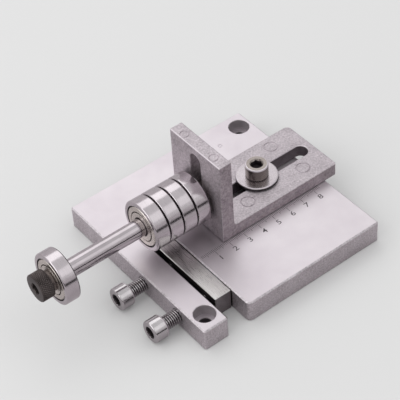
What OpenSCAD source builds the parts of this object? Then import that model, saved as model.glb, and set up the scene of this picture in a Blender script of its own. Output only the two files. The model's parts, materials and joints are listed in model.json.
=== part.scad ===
// Leather strip cutter: a cast base with a blade clamp, a sliding fence and a roller shaft.
// +X runs along the shaft towards the fence's foot, +Y to the back and +Z up.
// The origin is the middle of the base's underside.

/* [Base] */
// Width of the base, along the shaft
base_w = 120; // [112:1:140]
// Depth of the base, front to back
base_d = 120; // [108:1:140]
// Thickness of the base
base_t = 14; // [13:0.5:20]
// Bevel on the edges of the castings
casting_bevel = 0.8; // [0.3:0.1:1.2]
// Width of the clamp arm at the left of the base
arm_w = 15.5; // [14.5:0.5:20]
// Distance of the mounting holes from the side edges
hole_inset_x = 8; // [7.5:0.1:8.4]
// Distance of the mounting holes from the front and back edges
hole_inset_y = 10.1; // [8:0.1:12]
// Diameter of the mounting holes
hole_d = 6.6; // [5.5:0.1:8]
// Diameter of the counterbores
counterbore_d = 12; // [10:0.1:12.5]
// Depth of the counterbores
counterbore_depth = 7; // [4:0.5:10]

/* [Blade clamp] */
// Distance of the jaw's front face from the base's front edge
jaw_setback = 14; // [12:0.5:20]
// Length of the jaw, front to back
jaw_len = 48.2; // [44:0.2:56]
// Width of the jaw
jaw_w = 10.3; // [8:0.1:14]
// Bevel on the edges of the jaw
jaw_bevel = 0.4; // [0.2:0.1:0.8]
// Gap between the jaw and the arm with the blade clamped
jaw_gap = 2.6; // [1.5:0.1:4]
// Gap behind the jaw and under it
jaw_play = 0.4; // [0.2:0.1:0.8]
// Distance between the two clamp screws
clamp_pitch = 29.6; // [24:0.2:34]
// Length of a clamp screw under its head
clamp_screw_len = 28; // [24:0.1:34]
// Diameter of the clamp screws' plain tips, which seat in the jaw
clamp_tip_d = 5.5; // [4:0.1:6]
// Length of the clamp screws' plain tips
clamp_tip_len = 3; // [2:0.1:5]

/* [Blade] */
// Thickness of the blade
blade_t = 0.6; // [0.4:0.1:1]
// Height of the blade's lower edge above the base's underside
blade_lift = 0.9; // [0.4:0.1:4]
// Length of the blade along its lower edge
blade_len = 26; // [18:1:32]
// Slope of the cutting edge, as a distance along the blade
blade_lead = 7; // [3:0.5:10]
// Width of the ground cutting edge
blade_grind = 1.6; // [0.8:0.1:2.5]
// Distance of the blade's point behind the jaw's front face
blade_setback = 2; // [1:0.5:8]
// Depth of the blade's top under the base's surface
blade_sunk = 0.5; // [0.2:0.1:0.9]

/* [Fence] */
// Strip width that the fence is set to
strip_w = 18; // [8:0.5:34]
// Width of the fence, front to back
fence_d = 42; // [34:0.5:50]
// Height of the fence above the base
fence_h = 54; // [48:0.5:64]
// Thickness of the upright plate
fence_t = 8; // [6:0.1:9]
// Length of the foot, from the fence's face
foot_len = 81; // [74:0.5:90]
// Thickness of the foot
foot_t = 8; // [6:0.1:9]
// Distance of the fence's centre line from the middle of the base
fence_y = 4; // [-2:0.5:10]
// Width of the slots
slot_w = 8.6; // [8.4:0.1:9.4]
// Metal left beyond each end of the foot's slot
foot_slot_margin = 4.2; // [3:0.1:6]
// Metal left above the shaft's slot
rise_slot_margin = 4.7; // [3:0.1:7]
// Metal left between the foot and the shaft's slot
rise_slot_foot = 0.6; // [0.2:0.1:1]
// Distance of the lock screw from the blade's wall
lock_from_wall = 58.9; // [54:0.1:64]
// Outer diameter of the lock washer
lock_washer_d = 24; // [18:0.5:28]
// Thickness of the lock washer
lock_washer_t = 2; // [1:0.1:2.5]
// Length of the lock screw under its head
lock_screw_len = 20; // [16:0.5:22]

/* [Cap screws] */
// Thread diameter of the cap screws
screw_d = 8; // [7:0.1:8]
// Thread pitch of the cap screws
screw_pitch = 1.25; // [1:0.05:1.5]
// Head diameter of the cap screws
screw_head_d = 13; // [11:0.1:14]
// Head height of the cap screws
screw_head_h = 8; // [6:0.1:9]
// Size of the hexagon sockets across flats
socket_af = 6; // [4:0.1:7]
// Depth of the hexagon sockets
socket_depth = 4; // [3:0.1:5]

/* [Roller shaft] */
// Gap under the rollers, for the leather
roller_gap = 6.3; // [4.5:0.1:14]
// Outer diameter of a bearing
bearing_d = 30; // [28:0.1:32]
// Bore of a bearing, and the shaft's diameter
bearing_bore = 10; // [9:0.1:11]
// Width of a bearing
bearing_w = 9; // [8:0.1:10]
// Number of bearings beside the fence
roller_count = 4; // [2:1:4]
// Bare shaft between the rollers and the end bearing
shaft_span = 48.6; // [40:0.1:60]
// Thickness of the washer between the rollers and the fence
shaft_washer_t = 1.6; // [0.6:0.1:2]
// Outer diameter of the washer between the rollers and the fence
shaft_washer_d = 16; // [13:0.5:18]
// Thread diameter of the shaft's two ends
stud_d = 6; // [5:0.1:6.4]
// Thread pitch of the shaft's two ends
stud_pitch = 1; // [0.8:0.05:1.25]
// Side of the slot nut's square flange
nut_side = 13; // [11:0.5:14]
// Thickness of the slot nut's flange
nut_t = 4; // [3:0.1:6]
// Diameter of the knob
knob_d = 16; // [14:0.1:18]
// Length of the knob
knob_len = 7.4; // [6:0.1:12]
// Length of the knob's thread
knob_thread_len = 14; // [10:0.5:20]
// Number of knurls round the knob
knurl_count = 44; // [24:2:60]
// Depth of the knurls
knurl_depth = 0.35; // [0.2:0.05:0.5]
// Outer diameter of the spring washer behind the knob
spring_washer_d = 12; // [11:0.1:15]
// Inner diameter of the spring washer behind the knob
spring_washer_bore = 6.6; // [6.6:0.1:9]
// Thickness of the spring washer behind the knob
spring_washer_t = 2.1; // [1.2:0.1:3]

/* [Inside the bearings] */
// Number of balls in a bearing
ball_count = 8; // [6:1:8]
// Diameter of a ball
ball_d = 4.76; // [4:0.02:5]
// Wall of the inner ring and of the outer ring
ring_wall = 3.4; // [3.2:0.05:3.7]
// Width of the seat in the outer ring that a shield lies on
shield_seat = 0.8; // [0.5:0.05:1.2]
// Thickness of a shield
shield_t = 0.4; // [0.3:0.05:0.6]
// Depth of a shield under the bearing's face
shield_inset = 0.5; // [0.3:0.05:0.8]
// Bevel on the edges of the rings
ring_bevel = 0.7; // [0.3:0.05:1]

/* [Hidden] */
$fn = 64;
// Play between flat faces that slide on each other
slide_gap = 0.05;
// Radial play of a screw or a shaft in its hole
fit_gap = 0.05;
// Radial play of the balls in their races and pockets
ball_gap = 0.07;
// Play between parts that pass each other without guiding
free_gap = 0.25;
// Overlap of a cutting shape past the face that it cuts
over = 1;
// Depth of a thread, and the flats at its crest and root, as shares of its pitch
thread_depth = 0.61;
thread_flat = 0.1;
// Bevel on the rims of the screw heads and the knob
head_bevel = 0.8;
// Width and height of the drilled point under a hexagon socket, as shares of the socket
drill_width = 0.9;
drill_height = 0.25;
// Broken edges of the washers and of the shaft
washer_edge = 0.2;
shaft_edge = 0.4;
// Distance of the shaft's end inside the end bearing
shaft_end_inset = 0.4;
// Angle of the split in the spring washer
spring_split = 12;
// Land left on the blade's cutting edge
blade_land = 0.06;
// Wall of a bearing's cage, and the rim left beside its pockets
cage_t = 1.8;
cage_rim = 0.6;

base_left = -base_w / 2;
base_front = -base_d / 2;
base_top = base_t;
notch_w = jaw_gap + jaw_w + blade_t + 2 * slide_gap;
notch_len = jaw_setback + jaw_len + jaw_play;
arm_x = base_left + arm_w;
jaw_x = arm_x + jaw_gap;
jaw_front = base_front + jaw_setback;
wall_x = arm_x + notch_w;
clamp_y = jaw_front + jaw_len / 2;
clamp_z = base_t / 2;
clamp_head_x = jaw_x - clamp_screw_len;
blade_h = base_t - blade_sunk - blade_lift;

fence_x = wall_x + strip_w;
fence_back_x = fence_x + fence_t;
foot_end_x = fence_x + foot_len;
foot_bottom = base_top + slide_gap;
foot_top = foot_bottom + foot_t;
fence_top = foot_bottom + fence_h;
lock_x = wall_x + lock_from_wall;
lock_washer_z = foot_top + slide_gap;
lock_head_z = lock_washer_z + lock_washer_t;

shaft_z = base_top + roller_gap + bearing_d / 2;
rise_slot_low = foot_top + rise_slot_foot + slot_w / 2;
rise_slot_high = fence_top - rise_slot_margin - slot_w / 2;
shoulder_x = fence_x - slide_gap - shaft_washer_t;
rollers_x = shoulder_x - roller_count * bearing_w;
end_bearing_x = rollers_x - shaft_span - bearing_w;
knob_x = end_bearing_x - spring_washer_t;
nut_x = fence_back_x + slide_gap;
nut_boss_len = fence_t - free_gap;

roller_names = [for (i = [1 : roller_count]) str("roller_", i)];
bearing_names = concat(roller_names, ["end_roller"]);
bearing_xs = concat([for (i = [0 : roller_count - 1]) rollers_x + i * bearing_w], [end_bearing_x]);
bearing_pieces = ["outer_ring", "inner_ring", "shields", "balls", "cage"];
pitch_r = (bearing_d + bearing_bore) / 4;
race_r = ball_d / 2 + ball_gap;
inner_ring_d = bearing_bore + 2 * ring_wall;
outer_ring_bore = bearing_d - 2 * ring_wall;
shield_d = outer_ring_bore + 2 * shield_seat;
cage_w = 2 * (race_r + cage_rim);

// Rectangle with its corners cut off
module cut_rectangle(w, h, c) {
    polygon([[c, 0], [w - c, 0], [w, c], [w, h - c], [w - c, h], [c, h], [0, h - c], [0, c]]);
}

// Block with every edge beveled, from the origin up
module beveled_block(size, c) {
    intersection() {
        linear_extrude(size.z) cut_rectangle(size.x, size.y, c);
        translate([0, size.y, 0]) rotate([90, 0, 0]) linear_extrude(size.y)
            cut_rectangle(size.x, size.z, c);
        rotate([90, 0, 90]) linear_extrude(size.x) cut_rectangle(size.y, size.z, c);
    }
}

// Bar with round ends, cut along +Z; its two end centres lie on the X axis
module round_ended_bar(x0, x1, w, h) {
    for (x = [x0, x1]) translate([x, 0, 0]) cylinder(d = w, h = h);
    translate([x0, -w / 2, 0]) cube([x1 - x0, w, h]);
}

// Turns a shape built along +Z so that it runs along +X
module along_x() {
    rotate([0, 90, 0]) children();
}

// Outline of a threaded rod from z = 0 down to -len, with one ridge per turn
function thread_outline(d, pitch, len) = let (
    crest = d / 2,
    root = crest - thread_depth * pitch,
    flat = thread_flat / 2,
    turns = floor(len / pitch)
) concat(
    [[0, 0], [crest, 0]],
    [for (i = [0 : turns - 1]) each [
        [crest, -(i + flat) * pitch],
        [root, -(i + 1 / 2 - flat) * pitch],
        [root, -(i + 1 / 2 + flat) * pitch],
        [crest, -(i + 1 - flat) * pitch]
    ]],
    [[root, -len], [0, -len]]
);

module threaded_rod(d, pitch, len) {
    rotate_extrude() polygon(thread_outline(d, pitch, len));
}

// Hexagon socket cut down from z = 0, with its drilled point
module hexagon_socket(af, depth) {
    point_h = drill_height * af;
    translate([0, 0, -depth]) cylinder(d = af / cos(30), h = depth + over, $fn = 6);
    translate([0, 0, -depth - point_h]) cylinder(d1 = 0, d2 = drill_width * af, h = point_h);
}

// Round head that stands on z = 0, with its rim beveled
module turned_head(d, h) {
    r = d / 2;
    rotate_extrude() polygon([
        [0, 0], [r - head_bevel / 2, 0], [r, head_bevel / 2],
        [r, h - head_bevel], [r - head_bevel, h], [0, h]
    ]);
}

// Cap screw whose head stands on z = 0 and whose thread runs down
module cap_screw(len) {
    difference() {
        union() {
            turned_head(screw_head_d, screw_head_h);
            threaded_rod(screw_d, screw_pitch, len);
        }
        translate([0, 0, screw_head_h]) hexagon_socket(socket_af, socket_depth);
    }
}

// Flat ring along +Z with slightly broken edges
module flat_ring(outer_d, inner_d, t) {
    edge = min(washer_edge, t / 4);
    r = outer_d / 2;
    rotate_extrude() polygon([
        [inner_d / 2, 0], [r - edge, 0], [r, edge], [r, t - edge], [r - edge, t], [inner_d / 2, t]
    ]);
}

// Hole through the base with a counterbore from above
module mounting_hole() {
    translate([0, 0, -over]) cylinder(d = hole_d, h = base_t + 2 * over);
    translate([0, 0, base_t - counterbore_depth]) cylinder(d = counterbore_d, h = counterbore_depth + over);
}

// Puts a shape built along +X on the axis of one clamp screw
module at_clamp_screw(x, side) {
    translate([x, clamp_y + side * clamp_pitch / 2, clamp_z]) children();
}

// Cast plate with the notch for the jaw, two tapped holes in its arm and one for the lock screw
module base_plate() {
    color("gainsboro") difference() {
        translate([base_left, base_front, 0]) beveled_block([base_w, base_d, base_t], casting_bevel);
        translate([arm_x, base_front - over, -over]) cube([notch_w, notch_len + over, base_t + 2 * over]);
        translate([base_left + hole_inset_x, base_front + hole_inset_y, 0]) mounting_hole();
        translate([-base_left - hole_inset_x, -base_front - hole_inset_y, 0]) mounting_hole();
        translate([lock_x, fence_y, -over]) cylinder(d = screw_d + 2 * fit_gap, h = base_t + 2 * over);
        for (side = [-1, 1]) at_clamp_screw(base_left - over, side)
            along_x() cylinder(d = screw_d + 2 * fit_gap, h = arm_w + 2 * over);
    }
}

// Steel bar that presses the blade against the base, with a seat for each clamp screw's tip
module clamp_jaw() {
    color("silver") difference() {
        translate([jaw_x, jaw_front, jaw_play])
            beveled_block([jaw_w, jaw_len, base_t - jaw_play], jaw_bevel);
        for (side = [-1, 1]) at_clamp_screw(jaw_x - over, side)
            along_x() cylinder(d = clamp_tip_d + 2 * fit_gap, h = clamp_tip_len + slide_gap + over);
    }
}

// Short blade on edge, its front sloped and ground from both sides
module cutting_blade() {
    blade_x = wall_x - slide_gap - blade_t / 2;
    edge_len = norm([blade_lead, blade_h]);
    edge_angle = atan2(blade_lead, blade_h);
    color("lightsteelblue") translate([blade_x, jaw_front + blade_setback, blade_lift])
        difference() {
            translate([-blade_t / 2, 0, 0]) rotate([90, 0, 90]) linear_extrude(blade_t)
                polygon([[0, 0], [blade_len, 0], [blade_len, blade_h], [blade_lead, blade_h]]);
            for (side = [-1, 1]) rotate([-edge_angle, 0, 0]) translate([0, 0, -edge_len])
                linear_extrude(3 * edge_len) polygon([
                    [0, -over], [side * blade_t, -over], [side * blade_t, blade_grind],
                    [side * blade_t / 2, blade_grind], [side * blade_land / 2, 0]
                ]);
        }
}

// Cap screw through the arm, with a plain tip in the jaw
module clamp_screw(side) {
    color("silver") at_clamp_screw(clamp_head_x, side) {
        rotate([0, -90, 0]) cap_screw(clamp_screw_len - slide_gap);
        along_x() cylinder(d = clamp_tip_d, h = clamp_screw_len + clamp_tip_len);
    }
}

// L-shaped casting with a slot in its foot and one in its upright plate
module fence() {
    color("gainsboro") difference() {
        union() {
            translate([fence_x, fence_y - fence_d / 2, foot_bottom])
                beveled_block([fence_t, fence_d, fence_h], casting_bevel);
            translate([fence_x, fence_y - fence_d / 2, foot_bottom])
                beveled_block([foot_len, fence_d, foot_t], casting_bevel);
        }
        translate([0, fence_y, foot_bottom - over])
            round_ended_bar(
                fence_back_x + foot_slot_margin + slot_w / 2,
                foot_end_x - foot_slot_margin - slot_w / 2, slot_w, foot_t + 2 * over
            );
        translate([fence_x - over, fence_y, 0]) along_x()
            round_ended_bar(-rise_slot_high, -rise_slot_low, slot_w, fence_t + 2 * over);
    }
}

module lock_washer() {
    color("silver") translate([lock_x, fence_y, lock_washer_z])
        flat_ring(lock_washer_d, screw_d + 2 * free_gap, lock_washer_t);
}

module lock_screw() {
    color("silver") translate([lock_x, fence_y, lock_head_z]) cap_screw(lock_screw_len);
}

// Nut behind the fence, with a boss that keeps it from turning in the slot
module slot_nut() {
    boss_w = slot_w - 2 * free_gap;
    color("dimgray") translate([nut_x, fence_y, shaft_z]) difference() {
        union() {
            translate([0, -nut_side / 2, -nut_side / 2]) cube([nut_t, nut_side, nut_side]);
            translate([-nut_boss_len, -boss_w / 2, -boss_w / 2]) cube([nut_boss_len + over, boss_w, boss_w]);
        }
        translate([-nut_boss_len - over, 0, 0]) along_x()
            cylinder(d = stud_d + 2 * fit_gap, h = nut_boss_len + nut_t + 2 * over);
    }
}

// Round rod with a threaded spigot for the slot nut and a tapped hole for the knob
module roller_shaft() {
    shaft_r = bearing_bore / 2;
    start_x = end_bearing_x + shaft_end_inset;
    body_len = shoulder_x - start_x;
    stud_len = nut_x + nut_t - shoulder_x;
    color("whitesmoke") translate([start_x, fence_y, shaft_z]) difference() {
        union() {
            along_x() rotate_extrude() polygon([
                [0, 0], [shaft_r - shaft_edge, 0], [shaft_r, shaft_edge],
                [shaft_r, body_len - shaft_edge], [shaft_r - shaft_edge, body_len], [0, body_len]
            ]);
            translate([body_len, 0, 0]) rotate([0, -90, 0]) threaded_rod(stud_d, stud_pitch, stud_len);
        }
        translate([-over, 0, 0]) along_x() cylinder(d = stud_d + 2 * fit_gap, h = knob_thread_len + 2 * over);
    }
}

module shaft_washer() {
    color("silver") translate([shoulder_x, fence_y, shaft_z]) along_x()
        flat_ring(shaft_washer_d, stud_d + 2 * free_gap, shaft_washer_t);
}

// Cylinder with straight knurls, from z = 0 up
module knurled_cylinder(d, len) {
    linear_extrude(len) polygon([for (i = [0 : 2 * knurl_count - 1])
        let (r = d / 2 - (i % 2) * knurl_depth, a = 180 * i / knurl_count) [r * cos(a), r * sin(a)]
    ]);
}

module knob_screw() {
    color("#2b2a2c") translate([knob_x, fence_y, shaft_z]) rotate([0, -90, 0]) difference() {
        union() {
            intersection() {
                translate([0, 0, -over]) knurled_cylinder(knob_d, knob_len + 2 * over);
                turned_head(knob_d + head_bevel / 2, knob_len);
            }
            threaded_rod(stud_d, stud_pitch, knob_thread_len);
        }
        translate([0, 0, knob_len]) hexagon_socket(socket_af, socket_depth);
    }
}

module knob_spring_washer() {
    color("#2b2a2c") translate([knob_x, fence_y, shaft_z]) along_x()
        rotate([0, 0, spring_split]) rotate_extrude(angle = 360 - spring_split)
            translate([spring_washer_bore / 2, 0])
                square([(spring_washer_d - spring_washer_bore) / 2, spring_washer_t]);
}

// Puts a shape built along +Z from z = 0 at one bearing's place
module at_bearing(i) {
    translate([bearing_xs[i], fence_y, shaft_z]) along_x() children();
}

// Groove that the balls run in
module ball_race() {
    translate([0, 0, bearing_w / 2]) rotate_extrude() translate([pitch_r, 0]) circle(r = race_r);
}

module outer_ring(i) {
    outer_r = bearing_d / 2;
    seat_depth = shield_inset + shield_t;
    low = slide_gap;
    high = bearing_w - slide_gap;
    color("silver") at_bearing(i) difference() {
        rotate_extrude() polygon([
            [outer_ring_bore / 2, seat_depth], [shield_d / 2, seat_depth], [shield_d / 2, low],
            [outer_r - ring_bevel, low], [outer_r, low + ring_bevel],
            [outer_r, high - ring_bevel], [outer_r - ring_bevel, high],
            [shield_d / 2, high], [shield_d / 2, bearing_w - seat_depth],
            [outer_ring_bore / 2, bearing_w - seat_depth]
        ]);
        ball_race();
    }
}

module inner_ring(i) {
    edge = ring_bevel / 2;
    bore_r = bearing_bore / 2 + fit_gap / 2;
    color("silver") at_bearing(i) difference() {
        rotate_extrude() polygon([
            [bore_r + edge, 0], [inner_ring_d / 2, 0], [inner_ring_d / 2, bearing_w],
            [bore_r + edge, bearing_w], [bore_r, bearing_w - edge], [bore_r, edge]
        ]);
        ball_race();
    }
}

module shields(i) {
    color("lightgray") at_bearing(i) for (z = [shield_inset, bearing_w - shield_inset - shield_t])
        translate([0, 0, z]) flat_ring(shield_d - fit_gap, inner_ring_d + 2 * free_gap, shield_t);
}

// Repeats a shape at each ball of one bearing
module place_balls(i) {
    at_bearing(i) for (k = [0 : ball_count - 1])
        rotate([0, 0, 360 * k / ball_count]) translate([pitch_r, 0, bearing_w / 2]) children();
}

module balls(i) {
    color("whitesmoke") place_balls(i) sphere(d = ball_d);
}

module cage(i) {
    color("goldenrod") difference() {
        at_bearing(i) translate([0, 0, (bearing_w - cage_w) / 2])
            flat_ring(2 * pitch_r + cage_t, 2 * pitch_r - cage_t, cage_w);
        place_balls(i) along_x() cylinder(r = race_r, h = 2 * cage_t, center = true);
    }
}

base_plate();
clamp_jaw();
cutting_blade();
clamp_screw(-1);  // clamp_screw_front
clamp_screw(1);  // clamp_screw_rear
fence();
lock_washer();
lock_screw();
slot_nut();
roller_shaft();
shaft_washer();
knob_screw();
knob_spring_washer();
for (i = [0 : roller_count]) {
    outer_ring(i);
    inner_ring(i);
    shields(i);
    balls(i);
    cage(i);
}
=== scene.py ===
"""Leather strip cutter: the finish of every surface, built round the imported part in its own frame.

Sizes are millimetres in the part's frame until a mesh is made, which is in metres.
"""

import json
import logging
import math
from dataclasses import dataclass, field
from enum import Enum, IntEnum
from typing import Any, Sequence

import bmesh
import bpy
import numpy as np
from mathutils import Matrix, Vector


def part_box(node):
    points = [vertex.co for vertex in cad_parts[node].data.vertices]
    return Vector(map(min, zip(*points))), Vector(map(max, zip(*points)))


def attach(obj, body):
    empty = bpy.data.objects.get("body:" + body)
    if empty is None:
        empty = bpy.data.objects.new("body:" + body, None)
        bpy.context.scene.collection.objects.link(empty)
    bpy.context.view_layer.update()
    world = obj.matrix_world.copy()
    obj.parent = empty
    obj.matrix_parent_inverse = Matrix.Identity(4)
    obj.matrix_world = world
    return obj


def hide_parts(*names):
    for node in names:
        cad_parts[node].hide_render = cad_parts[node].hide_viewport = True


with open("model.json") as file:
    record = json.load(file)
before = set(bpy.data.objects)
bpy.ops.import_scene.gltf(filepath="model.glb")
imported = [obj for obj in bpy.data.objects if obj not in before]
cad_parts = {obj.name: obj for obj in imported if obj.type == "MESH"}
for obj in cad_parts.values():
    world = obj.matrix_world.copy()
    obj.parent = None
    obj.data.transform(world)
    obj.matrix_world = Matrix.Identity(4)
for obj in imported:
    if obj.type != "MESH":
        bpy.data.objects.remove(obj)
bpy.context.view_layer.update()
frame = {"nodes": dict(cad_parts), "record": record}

log = logging.getLogger("strip_cutter")
Array = np.ndarray
Corner = tuple[float, float, float]
Level = tuple[float, float]

MM = 0.001
# Distance at which points are welded, in metres
WELD = 1e-7
# Edges bent by more than this stay sharp, in degrees
SHARP_DEG = 32.0
# Columns round a turned piece
ROUND = 96
# How far a cutter stands out of what it cuts
OVER = 1.0
# Room for a face's centre to lie beside its true place, on a round face and on a flat one
NEAR = 0.05
BESIDE = 0.1
# Part of a face's normal along an axis: as good as flat, square to it, halfway, and slanted
FLAT = 0.95
SQUARE = 0.9
HALFWAY = 0.5
SLANTED = 0.3
# Detail of the noise that draws a mottle and a grain
MOTTLE_NOISE = {"Detail": 3.0, "Roughness": 0.55}
GRAIN_NOISE = {"Detail": 4.0, "Roughness": 0.6}
# Span of the noise that is stretched over the two tones and over the roughness
TONE_SPAN = {"From Min": 0.3, "From Max": 0.7}
ROUGH_SPAN = {"From Min": 0.25, "From Max": 0.75}
SQUARE_CORNERS = ((-1, -1), (1, -1), (1, 1), (-1, 1))
CLAMP_SCREWS = ("clamp_screw_front", "clamp_screw_rear")
ROLLERS = ("roller_1", "roller_2", "roller_3", "roller_4", "end_roller")
BODY_OF = {n: b for b, members in frame["record"]["behaviour"]["bodies"].items() for n in members}
MOUNTS = {m["name"]: m for m in frame["record"]["mounts"]}


class Axis(Enum):
    """Ways that a piece built along its own +Z is turned into the part's frame."""

    UP = ((1, 0, 0), (0, 1, 0), (0, 0, 1))
    TO_LEFT = ((0, 0, -1), (0, 1, 0), (1, 0, 0))
    TO_RIGHT = ((0, 0, 1), (0, 1, 0), (-1, 0, 0))
    TO_FRONT = ((1, 0, 0), (0, 0, -1), (0, 1, 0))


class Joining(Enum):
    """What becomes of a piece where a solid meets it."""

    TAKE_AWAY = "DIFFERENCE"
    ADD = "UNION"
    KEEP_SHARED = "INTERSECT"


def box_mm(node: str) -> tuple[Array, Array]:
    """Gives a CAD node's box.

    Args:
        node: Name of the node.

    Returns:
        Its lowest and highest corner, in millimetres.
    """
    low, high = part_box(node)
    return np.array(low) / MM, np.array(high) / MM


def centre_mm(node: str) -> Array:
    """Middle of a CAD node's box, in millimetres."""
    low, high = box_mm(node)
    return (low + high) / 2


def axis_point(node: str, axis_node: str) -> Corner:
    """Point at a CAD node's left end, on another one's axis along X, in millimetres."""
    middle = centre_mm(axis_node)
    return box_mm(node)[0][0], middle[1], middle[2]


def linear(colour: str) -> tuple[float, float, float, float]:
    """Turns an sRGB hex colour into linear light.

    Args:
        colour: Colour as "#rrggbb".

    Returns:
        Red, green, blue and an alpha of 1.
    """
    srgb = np.array([int(colour[i:i + 2], 16) for i in (1, 3, 5)]) / 255
    light = np.where(srgb <= 0.04045, srgb / 12.92, ((srgb + 0.055) / 1.055) ** 2.4)
    return (*light.tolist(), 1.0)


def unit(vectors: Array) -> Array:
    """Vectors scaled to a length of 1."""
    return vectors / np.linalg.norm(vectors, axis=-1, keepdims=True)


def whole_turn(steps: int = ROUND) -> Array:
    """Angles of evenly spaced columns, once round."""
    return np.linspace(0, 2 * math.pi, steps, endpoint=False)


def rounded(corners: Sequence[Corner], closed: bool = True, steps: int = 5) -> Array:
    """Replaces each corner of an outline by the arc of its radius that touches both sides.

    The arc's centre lies on the corner's bisector, at the radius over the sine of the half angle, and its
    points turn evenly from one touching point to the other.

    Args:
        corners: Two coordinates and the radius of each corner.
        closed: Whether the last corner joins the first.
        steps: Number of chords in an arc.

    Returns:
        The outline's points, one per row.
    """
    table = np.array(corners, float)
    points = table[:, :2]
    share = np.linspace(0, 1, steps + 1)[:, None]
    stretches = []
    for i, (corner, radius) in enumerate(zip(points, table[:, 2])):
        if radius <= 0 or (not closed and i in (0, len(points) - 1)):
            stretches.append(corner[None])
            continue
        before = unit(points[i - 1] - corner)
        after = unit(points[(i + 1) % len(points)] - corner)
        half = math.acos(np.clip(before @ after, -1, 1)) / 2
        turn = math.pi - 2 * half
        centre = corner + unit(before + after) * radius / math.sin(half)
        start = corner + before * radius / math.tan(half) - centre
        stop = corner + after * radius / math.tan(half) - centre
        arc = np.sin((1 - share) * turn) * start + np.sin(share * turn) * stop
        stretches.append(centre + arc / math.sin(turn))
    return np.concatenate(stretches)


def rectangle(low: Sequence[float], high: Sequence[float], corner_r: float) -> Array:
    """Outline of a rectangle with rounded corners, from its lowest and highest corner."""
    corners = ((low[0], low[1]), (high[0], low[1]), (high[0], high[1]), (low[0], high[1]))
    return rounded([(*corner, corner_r) for corner in corners])


def obround(first: Sequence[float], last: Sequence[float], width: float, steps: int = 24) -> Array:
    """Outline of a round-ended slot between two end centres.

    Args:
        first: Centre of one end.
        last: Centre of the other end.
        width: Width of the slot.
        steps: Number of chords in each end.

    Returns:
        The outline's points, anticlockwise.
    """
    along = unit(np.array(last, float) - np.array(first, float))
    heading = math.atan2(along[1], along[0])
    turn = np.linspace(-math.pi / 2, math.pi / 2, steps + 1)
    cap = np.stack([np.cos(turn + heading), np.sin(turn + heading)], axis=-1) * width / 2
    return np.concatenate([np.array(last) + cap, np.array(first) - cap])


def outset(outline: Array, distance: float) -> Array:
    """Moves an anticlockwise outline outwards.

    A point goes along the sum of the normals of its two sides, divided by one plus their product.

    Args:
        outline: Points of the outline.
        distance: How far each side moves.

    Returns:
        The moved points.
    """
    side = unit(np.roll(outline, -1, axis=0) - outline)
    normal = np.stack([side[:, 1], -side[:, 0]], axis=-1)
    before = np.roll(normal, 1, axis=0)
    mitre = (normal + before) / (1 + np.sum(normal * before, axis=-1, keepdims=True))
    return outline + distance * mitre


def edge_levels(low: float, high: float, edge: float, steps: int = 5,
                foot: float | None = None) -> list[Level]:
    """Outset and height of each level of a plate's wall, with a quarter circle at its foot and its top.

    Args:
        low: Height of the foot.
        high: Height of the top.
        edge: Radius of the upper edge, or its chamfer where there is one step.
        steps: Number of chords in an edge.
        foot: Radius of the lower edge, where it differs.

    Returns:
        The levels, from the foot up.
    """
    turn = np.linspace(0, math.pi / 2, steps + 1)
    under = edge if foot is None else foot
    lower = [(under * (math.sin(t) - 1), low + under * (1 - math.cos(t))) for t in turn]
    upper = [(edge * (math.cos(t) - 1), high - edge * (1 - math.sin(t))) for t in turn]
    return lower + upper


def flared_levels(low: float, high: float, flare: float) -> list[Level]:
    """Outset and height of each level of a cutter whose two mouths are chamfered by the flare."""
    wide = flare + OVER
    return [(wide, low - OVER), (0.0, low + flare), (0.0, high - flare), (wide, high + OVER)]


def grid_faces(rows: int, columns: int, wrap_rows: bool) -> list[list[int]]:
    """Quads of a grid whose columns close on themselves.

    Args:
        rows: Number of rows.
        columns: Number of columns.
        wrap_rows: Whether the last row joins the first.

    Returns:
        Four point numbers per face.
    """
    row = np.arange(rows if wrap_rows else rows - 1)[:, None]
    column = np.arange(columns)[None]
    here, there = row * columns, (row + 1) % rows * columns
    beside = (column + 1) % columns
    quads = np.stack([here + column, here + beside, there + beside, there + column], axis=-1)
    return quads.reshape(-1, 4).tolist()


def new_piece(name: str, points: Array, faces: list[list[int]], axis: Axis = Axis.UP,
              origin: Sequence[float] = (0, 0, 0)) -> bpy.types.Object:
    """Makes a mesh object with welded points and outward faces.

    Args:
        name: Name of the piece.
        points: Points in millimetres, in the piece's own axes.
        faces: Point numbers of each face.
        axis: Which way the piece's +Z points in the part's frame.
        origin: Where the piece's origin lies in the part's frame.

    Returns:
        The new object, at the origin, with its place in its mesh.
    """
    placed = points.reshape(-1, 3) @ np.array(axis.value, float).T + np.array(origin, float)
    mesh = bpy.data.meshes.new(name)
    mesh.from_pydata((placed * MM).tolist(), [], faces)
    work = bmesh.new()
    work.from_mesh(mesh)
    bmesh.ops.remove_doubles(work, verts=work.verts, dist=WELD)
    bmesh.ops.triangulate(work, faces=[f for f in work.faces if len(f.verts) > 4])
    bmesh.ops.recalc_face_normals(work, faces=work.faces)
    work.to_mesh(mesh)
    work.free()
    piece = bpy.data.objects.new(name, mesh)
    bpy.context.scene.collection.objects.link(piece)
    return piece


def lathe(radius: Array, height: Array, steps: int) -> Array:
    """Surface of revolution: a point lies at its row's radius and height, at its column's share of a turn.

    Args:
        radius: Radius of each row, or of each row and column.
        height: Height of each row, or of each row and column.
        steps: Number of columns.

    Returns:
        The grid of points.
    """
    shape = (len(radius), steps)
    angle = whole_turn(steps)
    wide = np.broadcast_to(np.reshape(radius, (shape[0], -1)), shape)
    tall = np.broadcast_to(np.reshape(height, (shape[0], -1)), shape)
    return np.stack([wide * np.cos(angle), wide * np.sin(angle), tall], axis=-1)


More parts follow.
